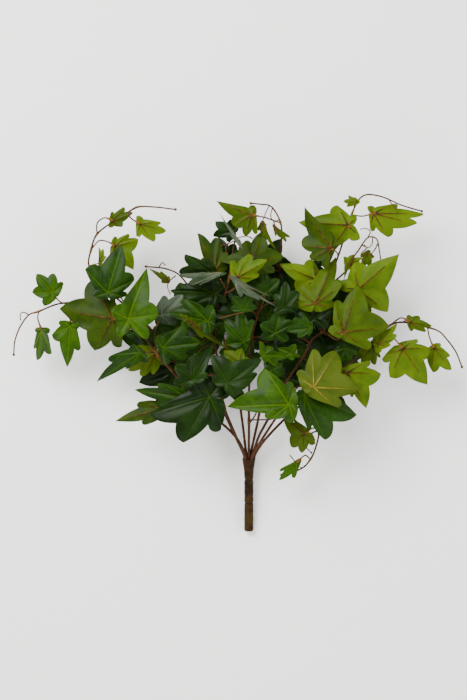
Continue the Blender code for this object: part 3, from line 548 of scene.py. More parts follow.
def make_vein_group():
    """Masks of a leaf's veins, from how far a place is across and along its lobe."""
    inputs = {"Width": 1.0, "Spacing": 9.0}
    group, nodes, given, result = new_group("Ivy Veins", inputs, ("Main", "Side", "Shade", "Height"))
    across = nodes.value_of("vein_across")
    along = nodes.value_of("vein_along")
    edge = nodes.value_of("blade_edge")
    width = nodes.math("MULTIPLY", given.outputs["Width"], nodes.math("SUBTRACT", 1.15, edge))
    main = nodes.math("SUBTRACT", 1.0, nodes.ramp(nodes.math("DIVIDE", across, width), 0.45, 1.35))
    place = nodes.add("ShaderNodeTexCoord").outputs["Object"]
    wander = nodes.add("ShaderNodeTexNoise", {"Vector": place, "Scale": 140.0, "Detail": 2.0})
    drift = nodes.math("MULTIPLY", nodes.math("SUBTRACT", wander.outputs["Fac"], 0.5), 5.0)
    course = nodes.math("SUBTRACT", nodes.math("ADD", along, drift), nodes.math("MULTIPLY", across, 0.85))
    turn = nodes.math("FRACT", nodes.math("DIVIDE", course, given.outputs["Spacing"]))
    apart = nodes.math("MULTIPLY", nodes.math("ABSOLUTE", nodes.math("SUBTRACT", turn, 0.5)),
                       given.outputs["Spacing"])
    fade = nodes.math("SUBTRACT", 1.0, nodes.ramp(edge, 0.65, 0.97))
    side = nodes.math("MULTIPLY", nodes.math("SUBTRACT", 1.0, nodes.ramp(apart, 0.15, 0.75)), fade)
    shade = nodes.math("SUBTRACT", 1.0, nodes.ramp(across, 0.8, 7.0))
    height = nodes.math("MAXIMUM", main, nodes.math("MULTIPLY", side, 0.5))
    for label, value in (("Main", main), ("Side", side), ("Shade", shade), ("Height", height)):
        nodes.feed(result.inputs[label], value)
    return group


def make_mottle_group():
    """The print's blotches: a soft large pattern and a fine woven one."""
    inputs = {"Size": 45.0, "Low": 0.38, "High": 0.62}
    group, nodes, given, result = new_group("Printed Mottle", inputs, ("Mottle", "Weave"))
    place = nodes.add("ShaderNodeTexCoord").outputs["Object"]
    cloud = nodes.add("ShaderNodeTexNoise", {"Vector": place, "Scale": given.outputs["Size"], "Detail": 4.0,
                                             "Roughness": 0.6})
    nodes.feed(result.inputs["Mottle"],
               nodes.ramp(cloud.outputs["Fac"], given.outputs["Low"], given.outputs["High"]))
    across = nodes.add("ShaderNodeTexWave", {"Vector": place, "Scale": 420.0, "Distortion": 0.4},
                       bands_direction="X")
    along = nodes.add("ShaderNodeTexWave", {"Vector": place, "Scale": 420.0, "Distortion": 0.4},
                      bands_direction="Y")
    nodes.feed(result.inputs["Weave"], nodes.math("MULTIPLY", across.outputs["Fac"], along.outputs["Fac"]))
    return group


def make_grain_group():
    """Moulded plastic bark: long streaks and small pits."""
    inputs = {"Streak": 160.0, "Pit": 900.0}
    group, nodes, given, result = new_group("Moulded Bark", inputs, ("Streaks", "Height"))
    place = nodes.add("ShaderNodeTexCoord").outputs["Object"]
    streak = nodes.add("ShaderNodeTexNoise", {"Vector": place, "Scale": given.outputs["Streak"],
                                              "Detail": 3.0, "Distortion": 0.6})
    pit = nodes.add("ShaderNodeTexNoise", {"Vector": place, "Scale": given.outputs["Pit"], "Detail": 2.0})
    nodes.feed(result.inputs["Streaks"], nodes.ramp(streak.outputs["Fac"], 0.40, 0.62))
    nodes.feed(result.inputs["Height"], nodes.math("ADD", streak.outputs["Fac"],
                                                   nodes.math("MULTIPLY", pit.outputs["Fac"], 0.4)))
    return group


def node_group(name):
    makers = {"Ivy Veins": make_vein_group, "Printed Mottle": make_mottle_group,
              "Moulded Bark": make_grain_group}
    return bpy.data.node_groups.get(name) or makers[name]()


# ---------------------------------------------------------------- finishes

# Printed leaf finishes: dark, light and vein colours, roughness, strength of the vein shading. The grey-green
# top finish paints a sheen instead of a print
LEAF_COLOURS = {
    "top_deep": ((0.0025, 0.0124, 0.0001), (0.0112, 0.0384, 0.0002), (0.0310, 0.0713, 0.0006), 0.40, 0.28),
    "top_fresh": ((0.0068, 0.0248, 0.0001), (0.0248, 0.0670, 0.0002), (0.0527, 0.0992, 0.0006), 0.42, 0.32),
    "top_dark": ((0.0014, 0.0062, 0.0001), (0.0059, 0.0211, 0.0001), (0.0136, 0.0347, 0.0006), 0.36, 0.22),
    # Painted sheen: grey-green colours that stand for the glossy reflection of leaves seen edge-on
    "top_painted_sheen": ((0.0062, 0.0223, 0.0012), (0.0558, 0.0713, 0.0465), (0.0930, 0.1116, 0.0682), 0.30, 0.20),
    "under_olive": ((0.0211, 0.0422, 0.0001), (0.0434, 0.0756, 0.0003), (0.0620, 0.0620, 0.0006), 0.50, 0.28),
    "under_lime": ((0.0360, 0.0732, 0.0002), (0.0732, 0.1209, 0.0004), (0.1054, 0.0992, 0.0006), 0.50, 0.30),
    "under_dusky": ((0.0087, 0.0223, 0.0001), (0.0260, 0.0508, 0.0002), (0.0372, 0.0422, 0.0006), 0.48, 0.28),
    "under_pale": ((0.0285, 0.0496, 0.0012), (0.0508, 0.0744, 0.0037), (0.0930, 0.0775, 0.0025), 0.48, 0.28),
}
BACK_OF = {"top": "under_olive", "under": "top_deep"}


def start_material(name):
    material = bpy.data.materials.get(name)
    if material:
        return material, None, None
    material = bpy.data.materials.new(name)
    material.use_nodes = True
    nodes = Nodes(material.node_tree)
    return material, nodes, material.node_tree.nodes["Principled BSDF"]


def leaf_material(finish):
    """A printed leaf: mottled green, paler along its veins and edge, with a satin skin. With the grey-green
    top finish its colours are a painted sheen.
    """
    material, nodes, shader = start_material("leaf_" + finish)
    if nodes is None:
        return material
    dark, light, vein, roughness, strength = LEAF_COLOURS[finish]
    veins = nodes.group(node_group("Ivy Veins"), Width=1.0, Spacing=9.0)
    mottle = nodes.group(node_group("Printed Mottle"), Size=45.0, Low=0.38, High=0.62)
    tint = nodes.value_of("leaf_tint")
    edge = nodes.value_of("blade_edge")
    blotch = nodes.math("ADD", nodes.math("MULTIPLY", mottle.outputs["Mottle"], 0.6),
                        nodes.math("MULTIPLY", tint, 0.4))
    ground = nodes.mix(blotch, dark, light)
    shaded = nodes.mix(nodes.math("MULTIPLY", veins.outputs["Shade"], strength), ground, light)
    lined = nodes.mix(nodes.math("MULTIPLY", veins.outputs["Side"], strength), shaded, vein)
    main = nodes.mix(nodes.math("MULTIPLY", veins.outputs["Main"], 0.70), lined, vein)
    rim = nodes.mix(nodes.math("MULTIPLY", nodes.ramp(edge, 0.965, 0.995), 0.35), main, vein)
    nodes.feed(shader.inputs["Base Color"], rim)
    nodes.feed(shader.inputs["Roughness"],
               nodes.math("ADD", nodes.math("MULTIPLY", mottle.outputs["Mottle"], 0.10), roughness - 0.05))
    shader.inputs["Specular IOR Level"].default_value = 0.08
    relief = nodes.math("ADD", nodes.math("MULTIPLY", veins.outputs["Height"], -1.0),
                        nodes.math("MULTIPLY", mottle.outputs["Weave"], 0.12))
    bump = nodes.add("ShaderNodeBump", {"Height": relief, "Strength": 0.35, "Distance": 0.0004})
    nodes.feed(shader.inputs["Normal"], bump.outputs["Normal"])
    return material


def grain_skin(nodes, shader, grain, swing, roughness, strength, distance):
    """The dull, grained skin of the ribs, the vines and the stem."""
    nodes.feed(shader.inputs["Roughness"],
               nodes.math("ADD", nodes.math("MULTIPLY", grain.outputs["Streaks"], swing), roughness))
    shader.inputs["Specular IOR Level"].default_value = 0.08
    relief = {"Height": grain.outputs["Height"], "Strength": strength, "Distance": distance}
    bump = nodes.add("ShaderNodeBump", relief)
    nodes.feed(shader.inputs["Normal"], bump.outputs["Normal"])


def rib_material(pale):
    """The ribs moulded under a leaf: brown, or yellow-green on the palest leaves."""
    material, nodes, shader = start_material("leaf_rib_pale" if pale else "leaf_rib")
    if nodes is None:
        return material
    brown = tuple(bpy.context.scene.ivy_leaf.rib_brown)
    grain = nodes.group(node_group("Moulded Bark"), Streak=220.0, Pit=1200.0)
    light = (0.20, 0.16, 0.02) if pale else (0.090, 0.040, 0.006)
    dark = (0.13, 0.10, 0.01) if pale else brown
    nodes.feed(shader.inputs["Base Color"], nodes.mix(grain.outputs["Streaks"], dark, light))
    grain_skin(nodes, shader, grain, 0.12, 0.42, 0.3, 0.0002)
    return material


def vine_material():
    """Plastic over wire: red-brown streaks, tan at the swollen joints, rosy in patches."""
    material, nodes, shader = start_material("vine_bark")
    if nodes is None:
        return material
    settings = bpy.context.scene.ivy_vine
    brown = tuple(settings.brown)
    grain = nodes.group(node_group("Moulded Bark"), Streak=200.0, Pit=1100.0)
    place = nodes.add("ShaderNodeTexCoord").outputs["Object"]
    patch = nodes.add("ShaderNodeTexNoise", {"Vector": place, "Scale": 28.0, "Detail": 2.0})
    rosy = nodes.mix(nodes.ramp(patch.outputs["Fac"], 0.46, 0.62), brown, (0.070, 0.028, 0.011))
    streaked = nodes.mix(nodes.math("MULTIPLY", grain.outputs["Streaks"], 0.5), rosy, (0.035, 0.012, 0.008))
    jointed = nodes.mix(nodes.value_of("joint"), streaked, tuple(settings.tan))
    nodes.feed(shader.inputs["Base Color"], jointed)
    grain_skin(nodes, shader, grain, 0.15, 0.40, 0.5, 0.0003)
    return material


def stem_material():
    """The stem: dark brown with olive patches, darker in its grooves."""
    material, nodes, shader = start_material("stem_bark")
    if nodes is None:
        return material
    settings = bpy.context.scene.ivy_stem
    grain = nodes.group(node_group("Moulded Bark"), Streak=120.0, Pit=800.0)
    place = nodes.add("ShaderNodeTexCoord").outputs["Object"]
    patch = nodes.add("ShaderNodeTexNoise", {"Vector": place, "Scale": 55.0, "Detail": 3.0})
    olive = nodes.mix(nodes.ramp(patch.outputs["Fac"], 0.42, 0.60), tuple(settings.dark),
                      tuple(settings.olive))
    warm = nodes.mix(nodes.math("MULTIPLY", grain.outputs["Streaks"], 0.45), olive, (0.050, 0.020, 0.006))
    grooved = nodes.mix(nodes.math("MULTIPLY", nodes.value_of("groove"), 0.7), warm, (0.010, 0.005, 0.003))
    nodes.feed(shader.inputs["Base Color"], grooved)
    grain_skin(nodes, shader, grain, 0.15, 0.48, 0.6, 0.0005)
    return material


def floor_material():
    material, nodes, shader = start_material("pale_floor")
    if nodes is None:
        return material
    place = nodes.add("ShaderNodeTexCoord").outputs["Object"]
    cloud = nodes.add("ShaderNodeTexNoise", {"Vector": place, "Scale": 3.0, "Detail": 2.0})
    nodes.feed(shader.inputs["Base Color"],
               nodes.mix(cloud.outputs["Fac"], (0.93, 0.93, 0.93), (0.95, 0.95, 0.95)))
    shader.inputs["Roughness"].default_value = 0.9
    return material


# ---------------------------------------------------------------- leaf shapes

SIDE_STEPS = 7
BLUNT_LOBE = 0.72
BLUNT_SWELL = 0.14
SMALLEST_NOTCH = SMALLEST_REACH * 0.6
LOWEST = 0.6
FOLD_RANGE = (0.10, 0.32)
CURL_RANGE = (-0.12, 0.07)
VEIN_SPACING = 9.0
VEIN_SLANT = 0.85
PUFF_WIDTH = 4.5
PLEAT_DEPTH = 0.008
PLEAT_START = 5.0
EDGE_WAVES = 5
RING_SHARES = (0.05, 0.12, 0.21, 0.31, 0.42, 0.53, 0.64, 0.75, 0.86, 0.95, 1.0)
USUAL_REACH = 60.0
RIB_SHARES = (0.0, 0.12, 0.25, 0.38, 0.50, 0.60, 0.66)
RIB_HALF_WIDTH = 0.95
RIB_TAPER = 0.62
RIB_TURNS = 5
RIB_SINK = 0.12
VEIN_LAYERS = ("vein_across", "vein_along", "blade_edge")


def sorted_lobes(hub, stalk_bearing, tips):
    """Each lobe's turn from the stalk and its reach, in order round the leaf."""
    start = math.radians(stalk_bearing)
    lobes = []
    for tip in tips:
        offset = Vector(tip) - hub
        lobes.append(((math.atan2(offset.y, offset.x) - start) % (2 * math.pi), offset.length))
    return start, sorted(lobes)


def lobe_side(reach, notch_reach, spread, bow, blunt):
    """Shares of the turn from a lobe's tip to its notch, each with its reach: a bow into a round notch."""
    side = []
    whole = math.hypot(1.0, NOTCH_ROUND) - NOTCH_ROUND
    for step in range(1, SIDE_STEPS + 1):
        share = step / (SIDE_STEPS + 1)
        eased = 1.0 - (math.hypot(1.0 - share, NOTCH_ROUND) - NOTCH_ROUND) / whole
        line = reach * notch_reach * math.sin(spread) / (
            reach * math.sin(eased * spread) + notch_reach * math.sin((1.0 - eased) * spread))
        swell = (bow + BLUNT_SWELL * blunt) * math.sin(math.pi * share) ** (0.9 - 0.35 * blunt)
        side.append((share, line * (1.0 + swell)))
    return side


def leaf_outline(hub, stalk_bearing, tips):
    """The blade's edge as (point, direction of the lobe that it belongs to), once round from the stalk."""
    start, lobes = sorted_lobes(hub, stalk_bearing, tips)
    longest = max(reach for _, reach in lobes)

    def heading(turn):
        return Vector((math.cos(start + turn), math.sin(start + turn)))

    last = len(lobes) - 1
    outline = []
    for index, (turn, reach) in enumerate(lobes):
        next_turn, next_reach = lobes[(index + 1) % len(lobes)]
        if index == last:
            next_turn += 2 * math.pi
            notch_turn = 2 * math.pi
            notch_reach = max(CLEFT_DEPTH * min(reach, next_reach), SMALLEST_NOTCH)
            bow = CLEFT_BOW
        else:
            notch_turn = (turn + next_turn) / 2
            chord = 2 * reach * next_reach / (reach + next_reach) * math.cos((next_turn - turn) / 2)
            notch_reach = max(NOTCH_DEPTH * chord, SMALLEST_NOTCH)
            bow = LOBE_BOW
        blunt = [1.0 if end in (0, last) and lobes[end][1] < BLUNT_LOBE * longest else 0.0
                 for end in (index, (index + 1) % len(lobes))]
        outline.append((hub + reach * heading(turn), heading(turn)))
        for share, far in lobe_side(reach, notch_reach, notch_turn - turn, bow, blunt[0]):
            outline.append((hub + far * heading(turn + share * (notch_turn - turn)), heading(turn)))
        outline.append((hub + notch_reach * heading(notch_turn), None))
        for share, far in reversed(lobe_side(next_reach, notch_reach, next_turn - notch_turn, bow, blunt[1])):
            spot = hub + far * heading(next_turn - share * (next_turn - notch_turn))
            outline.append((spot, heading(next_turn)))
    return outline, [(heading(turn), reach) for turn, reach in lobes]


class Blade:
    """Where a leaf's surface lies, in the plan's millimetres."""

    def __init__(self, row, puff, wave, seed):
        self.name, hub, self.bearing, self.slope, self.droop, self.tips, self.side = row
        self.hub = Vector(hub)
        self.centre = self.hub.xy
        self.outline, self.lobes = leaf_outline(self.centre, self.bearing, self.tips)
        self.reach = max(reach for _, reach in self.lobes)
        self.up = 1.0 if self.side == "top" else -1.0
        chance = random.Random(seed)
        self.puff = puff * self.reach * chance.uniform(0.8, 1.3)
        self.wave = wave * self.reach * chance.uniform(0.5, 1.3)
        self.phase = chance.uniform(0.0, 2 * math.pi)
        self.fold = chance.uniform(*FOLD_RANGE)
        self.curls = [chance.uniform(*CURL_RANGE) * self.reach for _ in self.lobes]
        self.tint = chance.random()
        middle = max(self.lobes, key=lambda lobe: lobe[1])[0]
        self.cross = Vector((-middle.y, middle.x))

    def height(self, offset, across, along, edge):
        scale = self.reach / USUAL_REACH
        spread = offset.length / self.reach
        rise = offset.x * self.slope[0] + offset.y * self.slope[1] - self.droop * spread ** 2
        rise += self.up * self.fold * abs(offset.dot(self.cross)) * (1.0 - 0.5 * spread)
        plump = 1.0 - math.exp(-across / (PUFF_WIDTH * scale))
        rise += self.up * self.puff * plump * (1.0 - 0.45 * edge ** 3)
        pleat = abs(math.sin(math.pi * (along - VEIN_SLANT * across) / (VEIN_SPACING * scale)))
        inside = min(1.0, across / (PLEAT_START * scale))
        rise += self.up * PLEAT_DEPTH * self.reach * pleat * inside * (1.0 - 0.6 * edge)
        angle = math.atan2(offset.y, offset.x)
        rise += self.wave * edge ** 2 * math.sin(EDGE_WAVES * angle + self.phase)
        for (heading, reach), curl in zip(self.lobes, self.curls):
            facing = max(0.0, offset.normalized().dot(heading)) if offset.length else 0.0
            rise += curl * facing ** 8 * min(1.0, offset.length / reach) ** 3
        return max(LOWEST, self.hub.z + rise)

    def point(self, offset, across, along, edge):
        return placed((*(self.centre + offset), self.height(offset, across, along, edge)))

    def vein_place(self, offset, heading):
        """How far a place is across and along the nearest lobe."""
        if heading is None:
            heading = max((lobe[0] for lobe in self.lobes), key=lambda way: offset.normalized().dot(way))
        along = offset.dot(heading)
        across = abs(offset.x * heading.y - offset.y * heading.x)
        return across, along


def build_sheet(work, blade, values):
    """The blade's upper skin: a fan round the hub and rings out to the edge."""
    scale = blade.reach / USUAL_REACH

    def note(across, along, edge):
        values["vein_across"].append(across / scale)
        values["vein_along"].append(along / scale)
        values["blade_edge"].append(edge)

    middle = work.verts.new(blade.point(Vector((0.0, 0.0)), 0.0, 0.0, 0.0))
    note(0.0, 0.0, 0.0)
    rings = []
    for share in RING_SHARES:
        ring = []
        for point, heading in blade.outline:
            offset = (point - blade.centre) * share
            across, along = blade.vein_place(offset, heading)
            ring.append(work.verts.new(blade.point(offset, across, along, share)))
            note(across, along, share)
        rings.append(ring)
    count = len(blade.outline)
    faces = []
    for index in range(count):
        following = (index + 1) % count
        faces.append(work.faces.new((middle, rings[0][index], rings[0][following])))
        for inner, outer in zip(rings, rings[1:]):
            faces.append(work.faces.new((inner[index], outer[index], outer[following], inner[following])))
    return [middle] + [vertex for ring in rings for vertex in ring], faces, rings[-1]


def thicken(work, skin, faces, edge, thickness, values):
    """Close the skin with a lower one and a rim."""
    work.normal_update()
    lower = {vertex: work.verts.new(vertex.co - vertex.normal * thickness * MM) for vertex in skin}
    for label in VEIN_LAYERS:
        values[label] += values[label][:len(skin)]
    for face in faces:
        back = work.faces.new([lower[vertex] for vertex in reversed(face.verts)])
        back.material_index = 1
    for index, vertex in enumerate(edge):
        following = edge[(index + 1) % len(edge)]
        work.faces.new((vertex, lower[vertex], lower[following], following))


def add_rib(work, blade, heading, reach, thickness, values):
    """One moulded rib under the blade, half round, tapering from the hub along its lobe."""
    scale = blade.reach / USUAL_REACH
    outward = -blade.up
    base = 0.0 if outward > 0 else thickness
    aside = Vector((-heading.y, heading.x))
    rows = []
    for share in RIB_SHARES:
        taper = 1.0 - RIB_TAPER * share / RIB_SHARES[-1]
        half = RIB_HALF_WIDTH * scale ** 0.7 * taper
        along = share * reach
        offset = heading * along
        level = blade.height(offset, 0.0, along, share) - base
        row = []
        for turn in range(RIB_TURNS):
            angle = math.pi * turn / (RIB_TURNS - 1)
            place = blade.centre + offset + aside * half * math.cos(angle)
            crown = level + outward * (half * 0.75 * math.sin(angle) - RIB_SINK)
            row.append(work.verts.new(placed((*place, crown))))
        rows.append(row)
    for label in VEIN_LAYERS:
        values[label] += [0.0] * (RIB_TURNS * len(rows))
    for low, high in zip(rows, rows[1:]):
        for turn in range(RIB_TURNS):
            following = (turn + 1) % RIB_TURNS
            loop = (low[turn], low[following], high[following], high[turn])
            face = work.faces.new(loop if outward < 0 else tuple(reversed(loop)))
            face.material_index = 2
    for row, flip in ((rows[0], outward > 0), (rows[-1], outward < 0)):
        face = work.faces.new(row if flip else tuple(reversed(row)))
        face.material_index = 2


def make_leaf(row, finish, node, seed):
    """One printed leaf with its ribs; node is the frame's leaf that it stands for, or None."""
    settings = bpy.context.scene.ivy_leaf
    blade = Blade(row, settings.puff, settings.wave, seed)
    values = {label: [] for label in VEIN_LAYERS}
    work = bmesh.new()
    skin, faces, edge = build_sheet(work, blade, values)
    thicken(work, skin, faces, edge, settings.thickness, values)
    for heading, reach in blade.lobes:
        add_rib(work, blade, heading, reach, settings.thickness, values)
    values["leaf_tint"] = [blade.tint] * len(values["blade_edge"])
    shown, hidden = leaf_material(finish), leaf_material(BACK_OF[blade.side])
    ribs = rib_material(finish == "under_pale")
    piece = finish_mesh(work, "printed_" + blade.name, (shown, hidden, ribs), values)
    if node:
        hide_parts(node)
    return piece


# ---------------------------------------------------------------- vine shapes

TUBE_SIDES = 9
ROOT_DEPTH = 6.0
FINE_STEP = 3.0
FINEST_STEP = FINE_STEP * 0.6
TUBE_RIPPLE = 0.05
CAP_RISE = 0.7
KNOT_SWELL = 0.45
BEAD_SHARE = 1.9
BARE_JOINT = 0.15


def smooth_route(points, step):
    """Points about one step apart on the smooth curve through the route's own points."""
    points = [Vector(point) for point in points]
    ends = [points[0] * 2 - points[1], *points, points[-1] * 2 - points[-2]]
    route = []
    for index in range(len(points) - 1):
        before, start, end, after = ends[index:index + 4]
        pieces = max(1, round((end - start).length / step))
        for piece in range(pieces):
            t = piece / pieces
            route.append(0.5 * (2 * start + (end - before) * t
                                + (2 * before - 5 * start + 4 * end - after) * t ** 2
                                + (3 * start - before - 3 * end + after) * t ** 3))
    route.append(points[-1])
    return route


def add_tube(work, points, radii, joints, values):
    """A round wire through the points, closed at both ends, with its radius and joint colour at each."""
    ahead = (points[1] - points[0]).normalized()
    side = ahead.orthogonal().normalized()
    rows = []
    for index, (place, radius) in enumerate(zip(points, radii)):
        before, after = points[max(0, index - 1)], points[min(len(points) - 1, index + 1)]
        ahead = (after - before).normalized()
        side = (side - ahead * side.dot(ahead)).normalized()
        other = ahead.cross(side)
        row = []
        for turn in range(TUBE_SIDES):
            angle = 2 * math.pi * turn / TUBE_SIDES
            swell = radius * (1.0 + TUBE_RIPPLE * math.sin(3 * angle + index * 0.35))
            spot = place + (side * math.cos(angle) + other * math.sin(angle)) * swell
            row.append(work.verts.new(placed(spot)))
        rows.append(row)
        values["joint"] += [joints[index]] * TUBE_SIDES
    for low, high in zip(rows, rows[1:]):
        for turn in range(TUBE_SIDES):
            following = (turn + 1) % TUBE_SIDES
            work.faces.new((low[turn], low[following], high[following], high[turn]))
    for row, toward, joint in ((rows[0], points[0] * 2 - points[1], joints[0]),
                               (rows[-1], points[-1] * 2 - points[-2], joints[-1])):
        centre = points[0] if row is rows[0] else points[-1]
        radius = radii[0] if row is rows[0] else radii[-1]
        cap = work.verts.new(placed(centre + (toward - centre).normalized() * radius * CAP_RISE))
        values["joint"].append(joint)
        for turn in range(TUBE_SIDES):
            following = (turn + 1) % TUBE_SIDES
            pair = (row[turn], row[following])
            work.faces.new((cap, pair[1], pair[0]) if row is rows[0] else (cap, pair[0], pair[1]))


def vine_radii(count, start, end, knots):
    """Radius and joint colour along a vine, thicker and tan at its knots."""
    radii, joints = [], []
    for index in range(count):
        share = index / (count - 1)
        swell = sum(math.exp(-((index - knot) / 1.3) ** 2) for knot in knots)
        radii.append((start + (end - start) * share ** 0.8) * (1.0 + KNOT_SWELL * min(1.0, swell)))
        joints.append(min(0.75, 0.6 * swell))
    return radii, joints


def nearest_index(points, place):
    return min(range(len(points)), key=lambda index: (points[index] - place).length)


def add_bead(work, place, radius, values):
    """The bead that ends a tendril; a new sphere lists its faces in any order, so they get a fixed one."""
    ball = bmesh.ops.create_uvsphere(work, u_segments=10, v_segments=7, radius=radius * MM)
    work.verts.index_update()
    fresh = set(ball["verts"])
    loops = []
    for face in [face for face in work.faces if face.verts[0] in fresh]:
        corners = list(face.verts)
        first = corners.index(min(corners, key=lambda vertex: vertex.index))
        loops.append(corners[first:] + corners[:first])
        work.faces.remove(face)
    for loop in sorted(loops, key=lambda loop: [vertex.index for vertex in loop]):
        work.faces.new(loop)
    for vertex in ball["verts"]:
        vertex.co += placed(place)
    values["joint"] += [0.35] * len(ball["verts"])


def finish_wire(work, name, values):
    piece = finish_mesh(work, name, (vine_material(),), values)
    return piece


def make_vine(name, route, stalks):
    """One vine with its leaf stalks, knotted where a stalk leaves it and ending in a bead."""
    settings = bpy.context.scene.ivy_vine
    values = {"joint": []}
    work = bmesh.new()
    foot = Vector(route[0]) + Vector((-0.1 * route[0][0], -ROOT_DEPTH, -1.0))
    points = smooth_route([foot, *route], FINE_STEP)
    knots = [nearest_index(points, Vector(stalk[0])) for stalk in stalks]
    radii, joints = vine_radii(len(points), settings.base_radius, settings.tip_radius, knots)
    add_tube(work, points, radii, joints, values)
    add_bead(work, points[-1], settings.tip_radius * BEAD_SHARE, values)
    for stalk in stalks:
        line = smooth_route(stalk, FINEST_STEP)
        count = len(line)
        radii = [settings.stalk_radius * (1.0 + 0.9 * smooth_step(count - 6, count - 1, index))
                 for index in range(count)]
        joints = [0.95 * smooth_step(count - 9, count - 2, index) for index in range(count)]
        add_tube(work, line, radii, joints, values)
    piece = finish_wire(work, "wrapped_" + name, values)
    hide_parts(name)
    return piece


def make_tendril(number, radius, line):
    """A bare twig or a curling tendril, with its bead."""
    values = {"joint": []}
    work = bmesh.new()
    points = smooth_route(line, FINEST_STEP)
    radii = [radius * (1.0 - 0.35 * index / (len(points) - 1)) for index in range(len(points))]
    add_tube(work, points, radii, [BARE_JOINT] * len(points), values)
    add_bead(work, points[-1], radius * 1.25, values)
    return finish_wire(work, f"tendril_{number:02d}", values)


def make_free_stalk(name, hub):
    """A stalk up to a leaf that the vines' own stalks don't reach, from the nearest place on a vine."""
    hub = Vector(hub)
    places = [point for route, _ in VINES.values() for point in smooth_route(route, FINE_STEP)]
    start = min(places, key=lambda point: (point - hub).length)
    middle = start.lerp(hub, 0.55) + Vector((0.0, 0.0, -0.06 * (hub - start).length))
    radius = bpy.context.scene.ivy_vine.stalk_radius
    values = {"joint": []}
    work = bmesh.new()
    points = smooth_route([start, middle, hub], FINEST_STEP)
    add_tube(work, points, [radius] * len(points), [BARE_JOINT] * len(points), values)
    return finish_wire(work, "stalk_of_" + name, values)


# ---------------------------------------------------------------- the stem

STEM_SIDES = 64
STEM_STEP = 0.75
GROOVES = (35.0, 63.5)
FINE_LINES = (27.5, 74.0)
BUNDLE_START = 72.0


def stem_radius(along, angle, groove_depth):
    """The stem's skin: ringed, flared at the top, and ribbed there by the vines inside it."""
    flare = max(0.0, (along / STEM_LENGTH - 0.75) / 0.25)
    radius = STEM_RADIUS + (STEM_TOP_RADIUS - STEM_RADIUS) * flare ** 1.5
    ring = groove_share(along)
    radius -= groove_depth * ring
    radius += 0.10 * math.sin(along * 0.55) + 0.07 * math.sin(along * 1.9 + angle * 2)
    radius -= 0.7 * max(0.0, 1.0 - along / 1.2) ** 2
    bundle = smooth_step(BUNDLE_START, STEM_LENGTH, along)
    radius -= bundle * 1.1 * (0.5 - 0.5 * math.cos(8 * angle)) ** 2
    return radius


def groove_share(along):
    share = max(math.exp(-((along - groove) / 1.0) ** 2) for groove in GROOVES)
    return max(share, *(0.35 * math.exp(-((along - line) / 0.6) ** 2) for line in FINE_LINES))


def make_stem():
    """The ringed stem that is pushed into a pot or a vase."""
    groove_depth = bpy.context.scene.ivy_stem.groove_depth
    values = {"groove": []}
    work = bmesh.new()
    rows = []
    steps = round(STEM_LENGTH / STEM_STEP)
    forward = Vector((0.0, math.cos(STEM_RISE), math.sin(STEM_RISE)))
    up = Vector((0.0, -math.sin(STEM_RISE), math.cos(STEM_RISE)))
    foot = Vector((0.0, 0.0, STEM_END_HEIGHT))
    for step in range(steps + 1):
        along = STEM_LENGTH * step / steps
        row = []
        for turn in range(STEM_SIDES):
            angle = 2 * math.pi * turn / STEM_SIDES
            radius = stem_radius(along, angle, groove_depth)
            aside = Vector((radius * math.cos(angle), 0, 0))
            spot = foot + forward * along + aside + up * radius * math.sin(angle)
            row.append(work.verts.new(placed(spot)))
            values["groove"].append(groove_share(along))
        rows.append(row)
    for low, high in zip(rows, rows[1:]):
        for turn in range(STEM_SIDES):
            following = (turn + 1) % STEM_SIDES
            work.faces.new((low[turn], high[turn], high[following], low[following]))
    for row, along, dip, flip in ((rows[0], 0.0, 0.4, False), (rows[-1], STEM_LENGTH, 2.0, True)):
        ring = [work.verts.new(vertex.co.lerp(placed(foot + forward * along), 0.5)) for vertex in row]
        sign = 1 if along == 0.0 else -1
        centre = work.verts.new(placed(foot + forward * (along + sign * dip)))
        values["groove"] += [0.4] * (STEM_SIDES + 1)
        for turn in range(STEM_SIDES):
            following = (turn + 1) % STEM_SIDES
            quad = (row[turn], row[following], ring[following], ring[turn])
            tri = (ring[turn], ring[following], centre)
            for loop in (quad, tri):
                work.faces.new(tuple(reversed(loop)) if flip else loop)
    piece = finish_mesh(work, "ringed_stem", (stem_material(),), values)
    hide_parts("stem_pick")
    return piece


# ---------------------------------------------------------------- operators

class IVY_OT_stem(bpy.types.Operator):
    """Make the ringed stem"""
    bl_idname = "ivy.stem"
    bl_label = "Ringed Stem"

    def execute(self, context):
        make_stem()
        return {"FINISHED"}


class IVY_OT_vines(bpy.types.Operator):
    """Make the nine wired vines with their leaf stalks"""
    bl_idname = "ivy.vines"
    bl_label = "Wired Vines"

    def execute(self, context):
        for name, (route, stalks) in VINES.items():
            make_vine(name, route, stalks)
        return {"FINISHED"}


class IVY_OT_tendrils(bpy.types.Operator):
    """Make the tendrils and bare twigs"""
    bl_idname = "ivy.tendrils"
    bl_label = "Tendrils"

    def execute(self, context):
        for number, (radius, line) in enumerate(TENDRILS, start=1):
            make_tendril(number, radius, line)
        return {"FINISHED"}


class IVY_OT_leaves(bpy.types.Operator):
    """Make the fifty leaves that the frame holds"""
    bl_idname = "ivy.leaves"
    bl_label = "Printed Leaves"

    def execute(self, context):
        for seed, row in enumerate(LEAVES):
            make_leaf(row, FINISHES.get(row[0], USUAL_FINISH[row[-1]]), row[0], seed)
        return {"FINISHED"}


class IVY_OT_small_leaves(bpy.types.Operator):
    """Make the small leaves and buds"""
    bl_idname = "ivy.small_leaves"
    bl_label = "Small Leaves"

    def execute(self, context):
        for seed, row in enumerate(SMALL_LEAVES, start=100):
            make_leaf(row, FINISHES.get(row[0], USUAL_FINISH[row[-1]]), None, seed)
        return {"FINISHED"}


